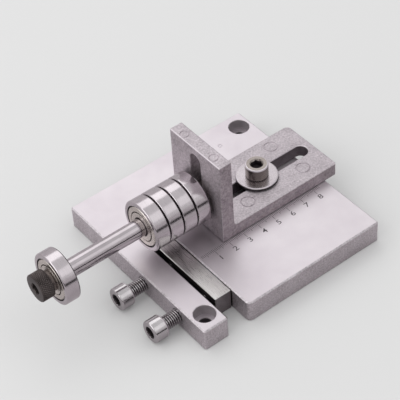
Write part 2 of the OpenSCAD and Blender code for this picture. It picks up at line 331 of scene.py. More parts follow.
def revolved(name: str, radius: Array, height: Array, wrap_rows: bool, axis: Axis,
             origin: Sequence[float], steps: int = ROUND) -> bpy.types.Object:
    """Makes a piece that is turned on a lathe.

    Args:
        name: Name of the piece.
        radius: Radius of each row, or of each row and column.
        height: Height of each row, or of each row and column.
        wrap_rows: Whether the profile is closed, as a ring's is; otherwise it starts and ends on the axis.
        axis: Which way the piece's +Z points.
        origin: Where the piece's origin lies.
        steps: Number of columns.

    Returns:
        The new object.
    """
    points = lathe(radius, height, steps)
    return new_piece(name, points, grid_faces(len(radius), steps, wrap_rows), axis, origin)


def ring(name: str, profile: Array, axis: Axis, origin: Sequence[float],
         steps: int = ROUND) -> bpy.types.Object:
    """Closed ring: a profile of radius and height turned about its axis."""
    return revolved(name, profile[:, 0], profile[:, 1], True, axis, origin, steps)


def turned(name: str, profile: Array, axis: Axis, origin: Sequence[float]) -> bpy.types.Object:
    """Solid of revolution: its profile of radius and height starts and ends on the axis."""
    return revolved(name, profile[:, 0], profile[:, 1], False, axis, origin)


def swept_plate(name: str, outline: Array, levels: Sequence[Level], axis: Axis = Axis.UP,
                origin: Sequence[float] = (0, 0, 0)) -> bpy.types.Object:
    """Solid plate: an outline carried through levels of outset and height, closed by two flat faces.

    Args:
        name: Name of the piece.
        outline: Anticlockwise outline.
        levels: Outset and height of each level.
        axis: Which way the plate's +Z points.
        origin: Where the plate's origin lies.

    Returns:
        The new object.
    """
    count = len(outline)
    rings = [np.column_stack([outset(outline, d), np.full(count, h)]) for d, h in levels]
    faces = grid_faces(len(rings), count, wrap_rows=False)
    faces.append(list(range(count - 1, -1, -1)))
    faces.append(list(range((len(rings) - 1) * count, len(rings) * count)))
    return new_piece(name, np.stack(rings), faces, axis, origin)


def cut(piece: bpy.types.Object, cutters: Sequence[bpy.types.Object],
        joining: Joining = Joining.TAKE_AWAY) -> None:
    """Takes solids away from a piece, adds them or keeps what they share with it, and removes them.

    Args:
        piece: Piece to cut.
        cutters: Closed solids.
        joining: What becomes of the piece where they meet it.
    """
    for cutter in cutters:
        step = piece.modifiers.new("cut", "BOOLEAN")
        step.operation = joining.value
        step.solver = "EXACT"
        step.object = cutter
    graph = bpy.context.evaluated_depsgraph_get()
    shaped = bpy.data.meshes.new_from_object(piece.evaluated_get(graph))
    piece.modifiers.clear()
    piece.data = shaped
    for cutter in cutters:
        bpy.data.objects.remove(cutter)


def face_table(piece: bpy.types.Object) -> tuple[Array, Array]:
    """Normals and centres of a piece's faces.

    Args:
        piece: The piece.

    Returns:
        One normal and one centre, in millimetres, per row.
    """
    faces = piece.data.polygons
    normal = np.zeros(len(faces) * 3)
    faces.foreach_get("normal", normal)
    centre = np.zeros(len(faces) * 3)
    faces.foreach_get("center", centre)
    return normal.reshape(-1, 3), centre.reshape(-1, 3) / MM


def paint_faces(piece: bpy.types.Object, index: Array) -> None:
    """Gives each face of a piece the number of its finish."""
    piece.data.polygons.foreach_set("material_index", np.asarray(index, np.int32))


def add_node(tree: bpy.types.NodeTree, kind: str, inputs: dict[str | int, Any] | None = None,
             **settings: Any) -> bpy.types.Node:
    """Adds a shader node.

    Args:
        tree: Node tree of the material.
        kind: Type of the node.
        inputs: Value or linked output of each input, by its name or number.
        settings: Properties of the node.

    Returns:
        The new node.
    """
    made = tree.nodes.new(kind)
    for key, value in settings.items():
        setattr(made, key, value)
    for key, value in (inputs or {}).items():
        if isinstance(value, bpy.types.NodeSocket):
            tree.links.new(value, made.inputs[key])
        else:
            made.inputs[key].default_value = value
    return made


@dataclass(frozen=True)
class Finish:
    """A surface: two tones mixed by a grain and a broad mottle, with roughness and relief from the grain.

    Attributes:
        name: Common name of the material and how its surface was made.
        light: Lighter tone.
        dark: Darker tone.
        metallic: Metallic share.
        rough: Roughness at the bottom and at the top of the grain.
        grain_mm: Size of the grain along each axis.
        mottle_mm: Size of the broad mottle.
        grain_share: Share of the grain in the colour; the rest is mottle.
        bump_mm: Height of the grain's relief.
        bump: Strength of the relief.
    """

    name: str
    light: str
    dark: str
    metallic: float = 1.0
    rough: tuple[float, float] = (0.3, 0.4)
    grain_mm: tuple[float, float, float] = (0.5, 0.5, 0.5)
    mottle_mm: float = 6.0
    grain_share: float = 0.5
    bump_mm: float = 0.002
    bump: float = 0.1

    def build(self) -> bpy.types.Material:
        """Builds the material.

        Returns:
            The new material.
        """
        material = bpy.data.materials.new(self.name)
        material.use_nodes = True
        tree = material.node_tree
        shader = tree.nodes["Principled BSDF"]
        shader.inputs["Metallic"].default_value = self.metallic
        place = add_node(tree, "ShaderNodeTexCoord").outputs["Object"]
        grain = self.grain(tree, place)
        mottle = add_node(tree, "ShaderNodeTexNoise", {
            "Vector": place, "Scale": 1 / (self.mottle_mm * MM), **MOTTLE_NOISE,
        }).outputs["Fac"]
        blend = add_node(tree, "ShaderNodeMix", {0: self.grain_share, 2: mottle, 3: grain}).outputs[0]
        spread = add_node(tree, "ShaderNodeMapRange", {"Value": blend, **TONE_SPAN})
        colour = add_node(tree, "ShaderNodeMix", {
            0: spread.outputs[0], 6: linear(self.dark), 7: linear(self.light),
        }, data_type="RGBA").outputs[2]
        tree.links.new(colour, shader.inputs["Base Color"])
        rough = add_node(tree, "ShaderNodeMapRange", {
            "Value": grain, "To Min": self.rough[0], "To Max": self.rough[1], **ROUGH_SPAN,
        })
        tree.links.new(rough.outputs[0], shader.inputs["Roughness"])
        relief = add_node(tree, "ShaderNodeBump", {
            "Height": grain, "Strength": self.bump, "Distance": self.bump_mm * MM,
        })
        tree.links.new(relief.outputs[0], shader.inputs["Normal"])
        return material

    def grain(self, tree: bpy.types.NodeTree, place: bpy.types.NodeSocket) -> bpy.types.NodeSocket:
        """Noise stretched to the grain's size along each axis.

        Args:
            tree: Node tree of the material.
            place: Place on the surface.

        Returns:
            The grain, from 0 to 1.
        """
        scale = tuple(1 / (size * MM) for size in self.grain_mm)
        stretched = add_node(tree, "ShaderNodeMapping", {"Vector": place, "Scale": scale}).outputs[0]
        return add_node(tree, "ShaderNodeTexNoise", {
            "Vector": stretched, "Scale": 1.0, **GRAIN_NOISE,
        }).outputs["Fac"]


# Marks of blasting, turning and grinding that are too fine to show are drawn coarser than they really are

# Cast aluminium, shot blasted: a grey, sparkling skin with a lilac cast, its grain drawn at 1 mm to show
CAST = Finish("cast_aluminium_shot_blasted", "#ede7eb", "#a8a1a5", rough=(0.4, 0.6),
              grain_mm=(1.0, 1.0, 1.0), mottle_mm=9.0, grain_share=0.8, bump_mm=0.12, bump=0.5)
# The same casting, thicker and left as blasted: darker, with a coarser grain
FENCE_CAST = Finish("cast_aluminium_as_blasted", "#d8d0d5", "#938b90", rough=(0.42, 0.6),
                    grain_mm=(1.1, 1.1, 1.1), mottle_mm=7.0, grain_share=0.75, bump_mm=0.12, bump=0.5)
# Cast aluminium with painted shade, for faces turned to the front, away from the light: dull and dark
SHADED_FRONT = Finish("cast_aluminium_painted_front_shade", "#cac0c5", "#82787e", rough=(0.45, 0.6),
                  grain_mm=(1.1, 1.1, 1.1), mottle_mm=7.0, grain_share=0.75, bump_mm=0.12, bump=0.5)
# Machined aluminium: pale and satin, with soft clouds and a very fine grain; also a painted highlight on the
# fence's top edge, the lock washer's edge and the screw heads
MACHINED_AND_HIGHLIGHT = Finish("machined_aluminium_satin_and_highlight", "#e0dade", "#cfc7cd", rough=(0.42, 0.52), mottle_mm=26.0,
                  grain_share=0.3, bump_mm=0.01, bump=0.2)
# Ground steel bar: long grinding streaks and a cool grey tone
GROUND = Finish("ground_steel_bar", "#dddbd9", "#bcbab8", rough=(0.24, 0.34), grain_mm=(0.35, 9.0, 0.35),
                mottle_mm=12.0, grain_share=0.6, bump_mm=0.004, bump=0.15)
# Turned stainless steel: bright, with fine marks round the axis
STAINLESS = Finish("stainless_steel_turned", "#d0ccce", "#b6b2b4", rough=(0.1, 0.2),
                   grain_mm=(0.5, 0.5, 0.18), bump_mm=0.001)
# Forged stainless steel: a brown grey skin with a soft gloss
FORGED = Finish("stainless_steel_cold_forged", "#9a938f", "#7f7773", rough=(0.14, 0.24),
                grain_mm=(0.6, 0.6, 0.6))
# Sawn steel: dull and grey, with coarse marks across
SAWN = Finish("steel_bar_sawn", "#a8a1a4", "#7e787b", rough=(0.35, 0.5), grain_mm=(2.0, 2.0, 0.4),
              grain_share=0.6, bump_mm=0.02, bump=0.3)
# Stamped stainless washer: bright, tumbled smooth after stamping
STAMPED = Finish("stainless_steel_stamped", "#b9b2b6", "#a49da1", rough=(0.2, 0.3))
# Bearing steel, ground and polished: a soft mirror with marks round the axis
BEARING = Finish("bearing_steel_polished", "#d0c9cd", "#bbb4b8", rough=(0.14, 0.2),
                 grain_mm=(0.12, 3.0, 3.0), mottle_mm=8.0)
# Pressed steel sheet: bright, a little wavy
SHEET = Finish("pressed_steel_sheet", "#ddd6cf", "#c4bcb6", rough=(0.2, 0.32), grain_mm=(0.6, 0.6, 0.6),
               mottle_mm=5.0, grain_share=0.4, bump_mm=0.01, bump=0.2)
# Drawn and polished steel rod: mirror with faint lines along it
ROD = Finish("drawn_steel_rod_polished", "#c8c1c5", "#b0a9ad", rough=(0.09, 0.16),
             grain_mm=(12.0, 0.4, 0.4), mottle_mm=9.0, bump=0.08)
# Blackened steel: dark oxide skin with a soft gloss
BLACKENED = Finish("blackened_steel", "#5e5655", "#2b2625", metallic=0.7, rough=(0.3, 0.48),
                   mottle_mm=4.0, bump_mm=0.02, bump=0.3)
# Blackened steel worn by fingers: a brown grey sheen on the ridges of a knurl
WORN = Finish("blackened_steel_worn", "#8b8280", "#625b59", metallic=0.9, rough=(0.3, 0.42),
              mottle_mm=4.0)
# Drilled aluminium with painted shade of the counterbore: an even, darker grey with fine rings round the hole
DRILLED = Finish("drilled_aluminium_dull", "#aba4a8", "#938c90", metallic=0.5, rough=(0.4, 0.5),
                 grain_mm=(3.0, 3.0, 0.4))
# Painted shade on metal: nearly black, put in gaps, recesses, thread roots and the lines under parts where
# shade falls
PAINTED_SHADE = Finish("painted_shade_dark_metal", "#474043", "#282326", metallic=0.6, rough=(0.35, 0.5),
               mottle_mm=5.0, grain_share=0.6, bump_mm=0.02, bump=0.3)
# Cast aluminium with painted shade, for the walls of deep slots and holes: dark grey with a soft gloss
SHADED_RECESS = Finish("cast_aluminium_painted_recess_shade", "#867e83", "#655c61", metallic=0.8, rough=(0.4, 0.55),
               grain_mm=(0.6, 0.6, 0.6), grain_share=0.6, bump_mm=0.04, bump=0.3)
# Blade steel: ground across, blue grey
BLADE = Finish("blade_steel_ground", "#acaeb1", "#77797e", rough=(0.18, 0.3), grain_mm=(0.3, 0.12, 3.0),
               mottle_mm=5.0, grain_share=0.6, bump_mm=0.004, bump=0.2)
# Printed ink: matt dark grey, a little worn
INK = Finish("printed_ink_matt", "#585156", "#393237", metallic=0.0, rough=(0.5, 0.65),
             grain_mm=(0.3, 0.3, 0.3), grain_share=0.6)


class Workshop:
    """Builds each finish once and sets pieces on the bodies of the nodes they stand for."""

    def __init__(self) -> None:
        """Starts with no material built."""
        self.built: dict[str, bpy.types.Material] = {}

    def material(self, finish: Finish) -> bpy.types.Material:
        """Gives a finish's material, built at its first use.

        Args:
            finish: The finish.

        Returns:
            Its material.
        """
        if finish.name not in self.built:
            self.built[finish.name] = finish.build()
        return self.built[finish.name]

    def dress(self, piece: bpy.types.Object, node: str, *finishes: Finish) -> None:
        """Shades a piece, gives it its finishes and lets it stand for a CAD node.

        Args:
            piece: Finished piece.
            node: CAD node that it replaces.
            finishes: Finish of each material slot.
        """
        self.coat(piece, *finishes)
        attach(piece, BODY_OF[node])
        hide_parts(node)
        log.info("%s stands for %s on %s", piece.name, node, BODY_OF[node])

    def coat(self, piece: bpy.types.Object, *finishes: Finish) -> None:
        """Shades a mesh smooth up to an angle and fills its material slots.

        Args:
            piece: Piece to shade.
            finishes: Finish of each material slot.
        """
        indices = np.zeros(len(piece.data.polygons), np.int32)
        piece.data.polygons.foreach_get("material_index", indices)
        piece.data.materials.clear()
        for finish in finishes:
            piece.data.materials.append(self.material(finish))
        paint_faces(piece, np.minimum(indices, len(finishes) - 1))
        piece.data.shade_smooth()
        piece.data.set_sharp_from_angle(angle=math.radians(SHARP_DEG))
        weigh = piece.modifiers.new("flat_faces", "WEIGHTED_NORMAL")
        weigh.keep_sharp = True

    def repaint(self, node: str, finish: Finish) -> None:
        """Gives a CAD node that stays in view its finish.

        Args:
            node: The node.
            finish: Its finish.
        """
        slots = frame["nodes"][node].data.materials
        slots.clear()
        slots.append(self.material(finish))
        log.info("%s keeps its solid", node)


class ScrewFace(IntEnum):
    """Parts of a screw, in the order of its finishes."""

    PLAIN = 0
    ROOT = 1
    SIDE = 2
    FOOT = 3
    RIM = 4


@dataclass
class CapScrew:
    """Socket screw along its own +Z, with its head from 0 up and its thread from 0 down.

    Attributes:
        head_d: Diameter of the head.
        head_h: Height of the head.
        thread_d: Diameter of the thread.
        pitch: Pitch of the thread.
        length: Length of the thread.
        tip_d: Diameter of a plain tip, if it has one.
        tip_len: Length of the plain tip.
        knurls: Number of ridges round the head.
        knurl_depth: Depth of the ridges.
        socket_af: Hexagon across flats.
        socket_depth: Depth of the hexagon.
        steps: Columns round the screw.
        rim: Radius of the head's upper edge.
        foot_r: Radius of the head's lower edge.
        thread_depth: Depth of the thread, over its pitch.
        thread_flat: Share of the pitch that is flat at the crest and at the root.
        rows_per_turn: Rows in each turn of the thread.
        knurl_rows: Rows up the knurled side.
        knurl_lead: Height in which a groove of the knurl moves on by one ridge.
        bright_depth: Depth to which the socket stays bright, above the socket's painted shade.
        bright_neck: Length of the thread under the head whose roots stay bright, without painted shade.
        socket_chamfer: Width of the chamfer at the socket's corners.
        ridge_band: Depth of the side's own finish.
        root_share: Share of the thread's depth above the root's painted shade.
        drill_share: Radius of the drilled point in the socket, over the width of its hexagon.
        tip_edge: Radius of the plain tip's edge.
    """

    head_d: float
    head_h: float
    thread_d: float
    pitch: float
    length: float
    tip_d: float = 0.0
    tip_len: float = 0.0
    knurls: int = 0
    knurl_depth: float = 0.35
    socket_af: float = 6.0
    socket_depth: float = 4.0
    steps: int = ROUND
    rim: float = 0.8
    foot_r: float = 0.9
    thread_depth: float = 0.61
    thread_flat: float = 0.22
    rows_per_turn: int = 10
    knurl_rows: int = 40
    knurl_lead: float = 1.7
    bright_depth: float = 0.05
    bright_neck: float = 0.2
    socket_chamfer: float = 0.15
    ridge_band: float = 0.1
    root_share: float = 0.65
    drill_share: float = 0.45
    tip_edge: float = 0.4

    def build(self, name: str, axis: Axis, origin: Sequence[float]) -> bpy.types.Object:
        """Builds the screw as one surface of revolution whose radius also varies round its socket and thread.

        Args:
            name: Name of the piece.
            axis: Which way the head points.
            origin: Point under the middle of the head.

        Returns:
            The new object.
        """
        angle = whole_turn(self.steps)
        parts = [self.socket(angle), self.head(angle), self.thread(angle), self.tip(angle)]
        radius = np.concatenate([p[0] for p in parts])
        height = np.concatenate([p[1] for p in parts])
        screw = revolved(name, radius, height, False, axis, origin, self.steps)
        self.paint(screw, axis, origin)
        return screw

    def paint(self, screw: bpy.types.Object, axis: Axis, origin: Sequence[float]) -> None:
        """Gives the roots of the thread, the socket and the head's side, foot and rim their finishes; the
        roots and the socket take painted shade, the foot or the rim a painted highlight.

        Args:
            screw: The screw.
            axis: Which way its head points.
            origin: Point under the middle of its head.
        """
        _, centre = face_table(screw)
        own = (centre - np.array(origin)) @ np.array(axis.value, float)
        height = own[:, 2]
        radius = np.hypot(own[:, 0], own[:, 1])
        outer = self.head_d / 2
        rim_z = self.head_h - self.rim
        root = self.thread_d / 2 - self.root_share * self.thread_depth * self.pitch
        in_thread = (height < -self.bright_neck) & (height > -self.length) & (radius < root)
        in_head = height > 0
        in_socket = in_head & (height < self.head_h - self.bright_depth)
        in_socket &= radius < self.socket_af / math.sqrt(3)
        # The thread's roots and the socket take the finish of painted shade
        index = np.where(in_thread | in_socket, ScrewFace.ROOT, ScrewFace.PLAIN)
        index[in_head & (height < rim_z) & (radius > outer - self.ridge_band)] = ScrewFace.SIDE
        index[in_head & (height < self.foot_r) & (radius > outer - self.foot_r)] = ScrewFace.FOOT
        index[(height > rim_z) & (radius > outer - self.rim)] = ScrewFace.RIM
        paint_faces(screw, index)

    def socket(self, angle: Array) -> tuple[Array, Array]:
        """Drilled point, hexagon wall and chamfered mouth.

        The hexagon's radius is half its width over the cosine of the angle from the nearest flat's middle.

        Args:
            angle: Angle of each column.

        Returns:
            Radius and height of each row and column.
        """
        hexagon = self.socket_af / 2 / np.cos(angle % (math.pi / 3) - math.pi / 6)
        mouth = self.mouth()
        floor = self.head_h - self.socket_depth
        drill = self.drill_share * self.socket_af
        even = np.ones_like(angle)
        radius = [0 * even, drill * even, hexagon, hexagon, mouth * even]
        height = [(floor - drill / 2) * even, floor * even, floor * even,
                  self.head_h - (mouth - hexagon), self.head_h * even]
        return np.stack(radius), np.stack(height)

    def mouth(self) -> float:
        """Radius of the socket's chamfered mouth."""
        return self.socket_af / math.sqrt(3) + self.socket_chamfer

    def head(self, angle: Array) -> tuple[Array, Array]:
        """Top face, rounded rim, side and underside; two crossing sets of V grooves knurl the side.

        A groove of either set is deepest where its share of a turn plus or minus the height over the lead is
        whole, and the surface is the lower of the two sets.

        Args:
            angle: Angle of each column.

        Returns:
            Radius and height of each row and column.
        """
        outer = self.head_d / 2
        rows = self.knurl_rows if self.knurls else 0
        side = np.linspace(self.head_h - self.rim, self.foot_r, rows)[1:-1]
        line = rounded([
            (self.mouth(), self.head_h, 0), (outer, self.head_h, self.rim),
            *[(outer, h, 0) for h in side], (outer, 0, self.foot_r), (self.thread_d / 2, 0, 0),
        ], closed=False)[1:]
        height = np.broadcast_to(line[:, 1:], (len(line), len(angle)))
        share = angle * self.knurls / (2 * math.pi)
        lean = height / self.knurl_lead
        ridge = np.minimum(np.abs((share + lean) % 1 - 0.5), np.abs((share - lean) % 1 - 0.5)) * 2
        cut_to = outer - (self.knurl_depth * (1 - ridge) if self.knurls else 0 * height)
        return np.minimum(line[:, :1], cut_to), height

    def thread(self, angle: Array) -> tuple[Array, Array]:
        """Helical thread: the ridge is highest where height over pitch equals the share of a turn.

        Args:
            angle: Angle of each column.

        Returns:
            Radius and height of each row and column.
        """
        rows = int(self.length / self.pitch * self.rows_per_turn)
        height = np.linspace(0, -self.length, rows)[1:, None]
        phase = (height / self.pitch - angle / (2 * math.pi)) % 1
        ridge = np.clip((np.abs(2 * phase - 1) - self.thread_flat) / (1 - 2 * self.thread_flat), 0, 1)
        neck = np.clip(1 + height / self.pitch, 0, 1)
        run_out = np.clip((height + self.length) / self.pitch, 0, 1)
        deep = self.thread_depth * self.pitch
        radius = self.thread_d / 2 - deep * (1 - np.maximum(ridge, neck) * run_out)
        return radius, np.broadcast_to(height, radius.shape)

    def tip(self, angle: Array) -> tuple[Array, Array]:
        """End face, or a plain tip with a rounded end.

        Args:
            angle: Angle of each column.

        Returns:
            Radius and height of each row and column.
        """
        end = -self.length
        line = [(0, end)]
        if self.tip_d:
            tip_r, tip_z = self.tip_d / 2, end - self.tip_len
            line = rounded([(tip_r, end, 0), (tip_r, tip_z, self.tip_edge), (0, tip_z, 0)], closed=False)
        table = np.array(line, float)
        shape = (len(table), len(angle))
        return np.broadcast_to(table[:, :1], shape), np.broadcast_to(table[:, 1:], shape)


def washer_profile(inner_r: float, outer_r: float, thick: float, edge: float) -> Array:
    """Profile of a flat washer with rounded edges, from height 0 up."""
    return rectangle((inner_r, 0), (outer_r, thick), edge)


def tapped_hole(radius: float, flare: float, low: float, high: float, axis: Axis,
                origin: Sequence[float]) -> bpy.types.Object:
    """Cutter for a tapped hole with chamfered mouths.

    Args:
        radius: Radius of the hole.
        flare: Width of the chamfers.
        low: Height of the lower mouth.
        high: Height of the upper mouth.
        axis: Which way the hole's +Z points.
        origin: Where height 0 lies on its axis.

    Returns:
        The cutter.
    """
    profile = [(radius + d, h) for d, h in flared_levels(low, high, flare)]
    return turned("bore", np.array([(0, low - OVER), *profile, (0, high + OVER)]), axis, origin)


def groove_ring(centre: Sequence[float], radius: float, width: float, depth: float,
                steps: int = 48) -> bpy.types.Object:
    """Cutter for a shallow round groove in a level face.

    Args:
        centre: Middle of the groove, on the face.
        radius: Radius of the groove's middle line.
        width: Width of the groove.
        depth: Depth of the groove.
        steps: Columns round the groove.

    Returns:
        The cutter.
    """
    half = width / 2
    profile = np.array([
        (radius - half / 2, -depth), (radius + half / 2, -depth), (radius + half, 0),
        (radius + half, depth), (radius - half, depth), (radius - half, 0),
    ])
    return ring("groove", profile, Axis.UP, centre, steps)


class PlateFace(IntEnum):
    """Parts of the base plate, in the order of its finishes."""

    CAST = 0
    TOP = 1
    NOTCH = 2
    COUNTERBORE = 3
    HOLE = 4


@dataclass
class BasePlate:
    """Cast base with its machined top, the notch for the jaw, the mounting holes and the tapped holes."""

    arm_w: float = 15.5
    notch_play: float = 0.4
    wall_play: float = 0.05
    corner_r: float = 1.1
    mouth_r: float = 2.8
    arm_mouth_r: float = 1.1
    notch_r: float = 0.5
    edge: float = 0.7
    foot: float = 0.4
    counterbore_r: float = 6.0
    counterbore_depth: float = 7.0
    tapped_r: float = 4.05
    flare: float = 0.3
    pin_mark: tuple[float, float] = (33.5, 44.3)
    pin_mark_r: float = 1.1
    pin_groove_w: float = 0.5
    pin_groove_depth: float = 0.25
    top_depth: float = 0.5

    def build(self, shop: Workshop) -> None:
        """Builds the plate, cuts its holes and dresses it.

        Args:
            shop: Maker of the finishes.
        """
        low, high = box_mm("base_plate")
        arm_x = low[0] + self.arm_w
        wall_x = box_mm("cutting_blade")[1][0] + self.wall_play
        jaw_low, jaw_high = box_mm("clamp_jaw")
        notch_y = jaw_high[1] + self.notch_play
        outline = rounded([
            (low[0], low[1], self.corner_r), (arm_x, low[1], self.arm_mouth_r),
            (arm_x, notch_y, self.notch_r), (wall_x, notch_y, self.notch_r),
            (wall_x, jaw_low[1], 0), (wall_x, low[1], self.mouth_r), (high[0], low[1], self.corner_r),
            (high[0], high[1], self.corner_r), (low[0], high[1], self.corner_r),
        ])
        plate = swept_plate("base_casting", outline, edge_levels(low[2], high[2], self.edge, 1, self.foot))
        cut(plate, self.cutters(low, high))
        self.paint(plate, high[2], (arm_x, wall_x), (jaw_low[1], notch_y))
        shop.dress(plate, "base_plate", CAST, MACHINED_AND_HIGHLIGHT, PAINTED_SHADE, DRILLED, SHADED_RECESS)

    def screw_holes(self) -> list[tuple[Array, float]]:
        """Place and radius of each mounting hole, from the record's mounts."""
        mounts = [MOUNTS[name] for name in ("front_screw_hole", "back_screw_hole")]
        return [(np.array(m["pos_m"]) / MM, m["dims"]["r_mm"]) for m in mounts]

    def cutters(self, low: Array, high: Array) -> list[bpy.types.Object]:
        """Cutters for every hole in the plate.

        Args:
            low: Lowest corner of the plate.
            high: Highest corner of the plate.

        Returns:
            The cutters.
        """
        top = high[2]
        made = []
        for place, hole_r in self.screw_holes():
            made.append(self.mounting_hole((place[0], place[1], 0), hole_r, top))
        lock = centre_mm("lock_screw")
        made.append(tapped_hole(self.tapped_r, self.flare, low[2], top, Axis.UP, (lock[0], lock[1], 0)))
        for node in CLAMP_SCREWS:
            place = axis_point("base_plate", node)
            made.append(tapped_hole(self.tapped_r, self.flare, 0, self.arm_w, Axis.TO_RIGHT, place))
        mark = (*self.pin_mark, top)
        made.append(groove_ring(mark, self.pin_mark_r, self.pin_groove_w, self.pin_groove_depth))
        return made

    def mounting_hole(self, origin: Sequence[float], hole_r: float, top: float) -> bpy.types.Object:
        """Cutter for a counterbored hole with a chamfered mouth.

        Args:
            origin: Middle of the hole, at height 0.
            hole_r: Radius of the hole.
            top: Height of the plate's top.

        Returns:
            The cutter.
        """
        floor = top - self.counterbore_depth
        profile = np.array([
            (0, -OVER), (hole_r, -OVER), (hole_r, floor - self.flare), (hole_r + self.flare, floor),
            (self.counterbore_r, floor), (self.counterbore_r, top - self.flare),
            (self.counterbore_r + self.flare + OVER, top + OVER), (0, top + OVER),
        ])
        return turned("hole", profile, Axis.UP, origin)

    def paint(self, plate: bpy.types.Object, top: float, notch_x: tuple[float, float],
              notch_y: tuple[float, float]) -> None:
        """Gives the top its own finish, and painted shade to the notch, the chamfer under the plate, the
        counterbores and the holes.

        Args:
            plate: The plate.
            top: Height of its top face.
            notch_x: The two walls of the notch.
            notch_y: The jaw's front and the closed end of the notch.
        """
        normal, centre = face_table(plate)
        x, y, z = centre.T
        level = normal[:, 2] > SQUARE
        below = z < top - BESIDE
        index = np.where(level & (z > top - self.top_depth), PlateFace.TOP, PlateFace.CAST)
        notch = (x > notch_x[0] - self.edge) & (x < notch_x[1] + BESIDE) & (y < notch_y[1] + BESIDE)
        notch &= (y > notch_y[0]) | (normal[:, 0] > HALFWAY)
        # Painted shade on the walls of the notch beside and behind the jaw
        index[notch & (np.abs(normal[:, 2]) < SQUARE)] = PlateFace.NOTCH
        # Painted shadow line on the chamfer under the plate
        index[(normal[:, 2] < -SLANTED) & (normal[:, 2] > -SQUARE)] = PlateFace.NOTCH
        for place, hole_r in self.screw_holes():
            away = np.hypot(x - place[0], y - place[1])
            # Painted shade on the counterbores' walls
            index[(away < self.counterbore_r + NEAR) & below] = PlateFace.COUNTERBORE
            index[(away < self.counterbore_r) & level & below] = PlateFace.TOP
            # Painted shade in the through holes
            index[(away < hole_r + NEAR) & (z < top - self.counterbore_depth)] = PlateFace.HOLE
        paint_faces(plate, index)


class JawFace(IntEnum):
    """Parts of the jaw, in the order of its finishes."""

    GROUND = 0
    BACK = 1
    END = 2


@dataclass
class BladeClamp:
    """Jaw and the two screws that press it against the blade."""

    corner_r: float = 0.5
    edge: float = 0.35
    seat_r: float = 2.8
    seat_depth: float = 3.05
    screw: CapScrew = field(default_factory=lambda: CapScrew(
        head_d=13.0, head_h=8.0, thread_d=8.0, pitch=1.25, length=27.95, tip_d=5.5, tip_len=3.05))

    def build(self, shop: Workshop) -> None:
        """Builds the jaw and its screws and dresses them.

        Args:
            shop: Maker of the finishes.
        """
        low, high = box_mm("clamp_jaw")
        outline = rectangle(low, high, self.corner_r)
        jaw = swept_plate("jaw_bar", outline, edge_levels(low[2], high[2], self.edge, 1))
        cut(jaw, [self.seat(node) for node in CLAMP_SCREWS])
        normal, _ = face_table(jaw)
        # The face towards the arm takes painted shade, for the dark gap between jaw and arm
        cases = [normal[:, 0] < -SQUARE, np.abs(normal[:, 1]) > SQUARE]
        paint_faces(jaw, np.select(cases, [JawFace.BACK, JawFace.END], JawFace.GROUND))
        shop.dress(jaw, "clamp_jaw", GROUND, PAINTED_SHADE, SAWN)
        for node in CLAMP_SCREWS:
            head_x = box_mm(node)[0][0] + self.screw.head_h
            middle = centre_mm(node)
            piece = self.screw.build(f"{node}_turned", Axis.TO_LEFT, (head_x, middle[1], middle[2]))
            # Painted shade in the thread's roots and the socket, and a painted highlight on the head's foot
            shop.dress(piece, node, STAINLESS, PAINTED_SHADE, STAINLESS, MACHINED_AND_HIGHLIGHT, STAINLESS)
        shop.repaint("cutting_blade", BLADE)

    def seat(self, node: str) -> bpy.types.Object:
        """Cutter for the blind seat of a screw's tip.

        Args:
            node: The screw.

        Returns:
            The cutter.
        """
        radius, depth = self.seat_r, self.seat_depth
        profile = np.array([(0, -OVER), (radius, -OVER), (radius, depth), (0, depth)])
        return turned("seat", profile, Axis.TO_RIGHT, axis_point("clamp_jaw", node))


class FenceFace(IntEnum):
    """Parts of the fence, in the order of its finishes."""

    CAST = 0
    FOOT_SLOT = 1
    FRONT = 2
    TOP_EDGE = 3
    UNDER_EDGE = 4


class WasherFace(IntEnum):
    """Parts of the lock washer, in the order of its finishes."""

    TOP = 0
    EDGE = 1
    UNDER = 2


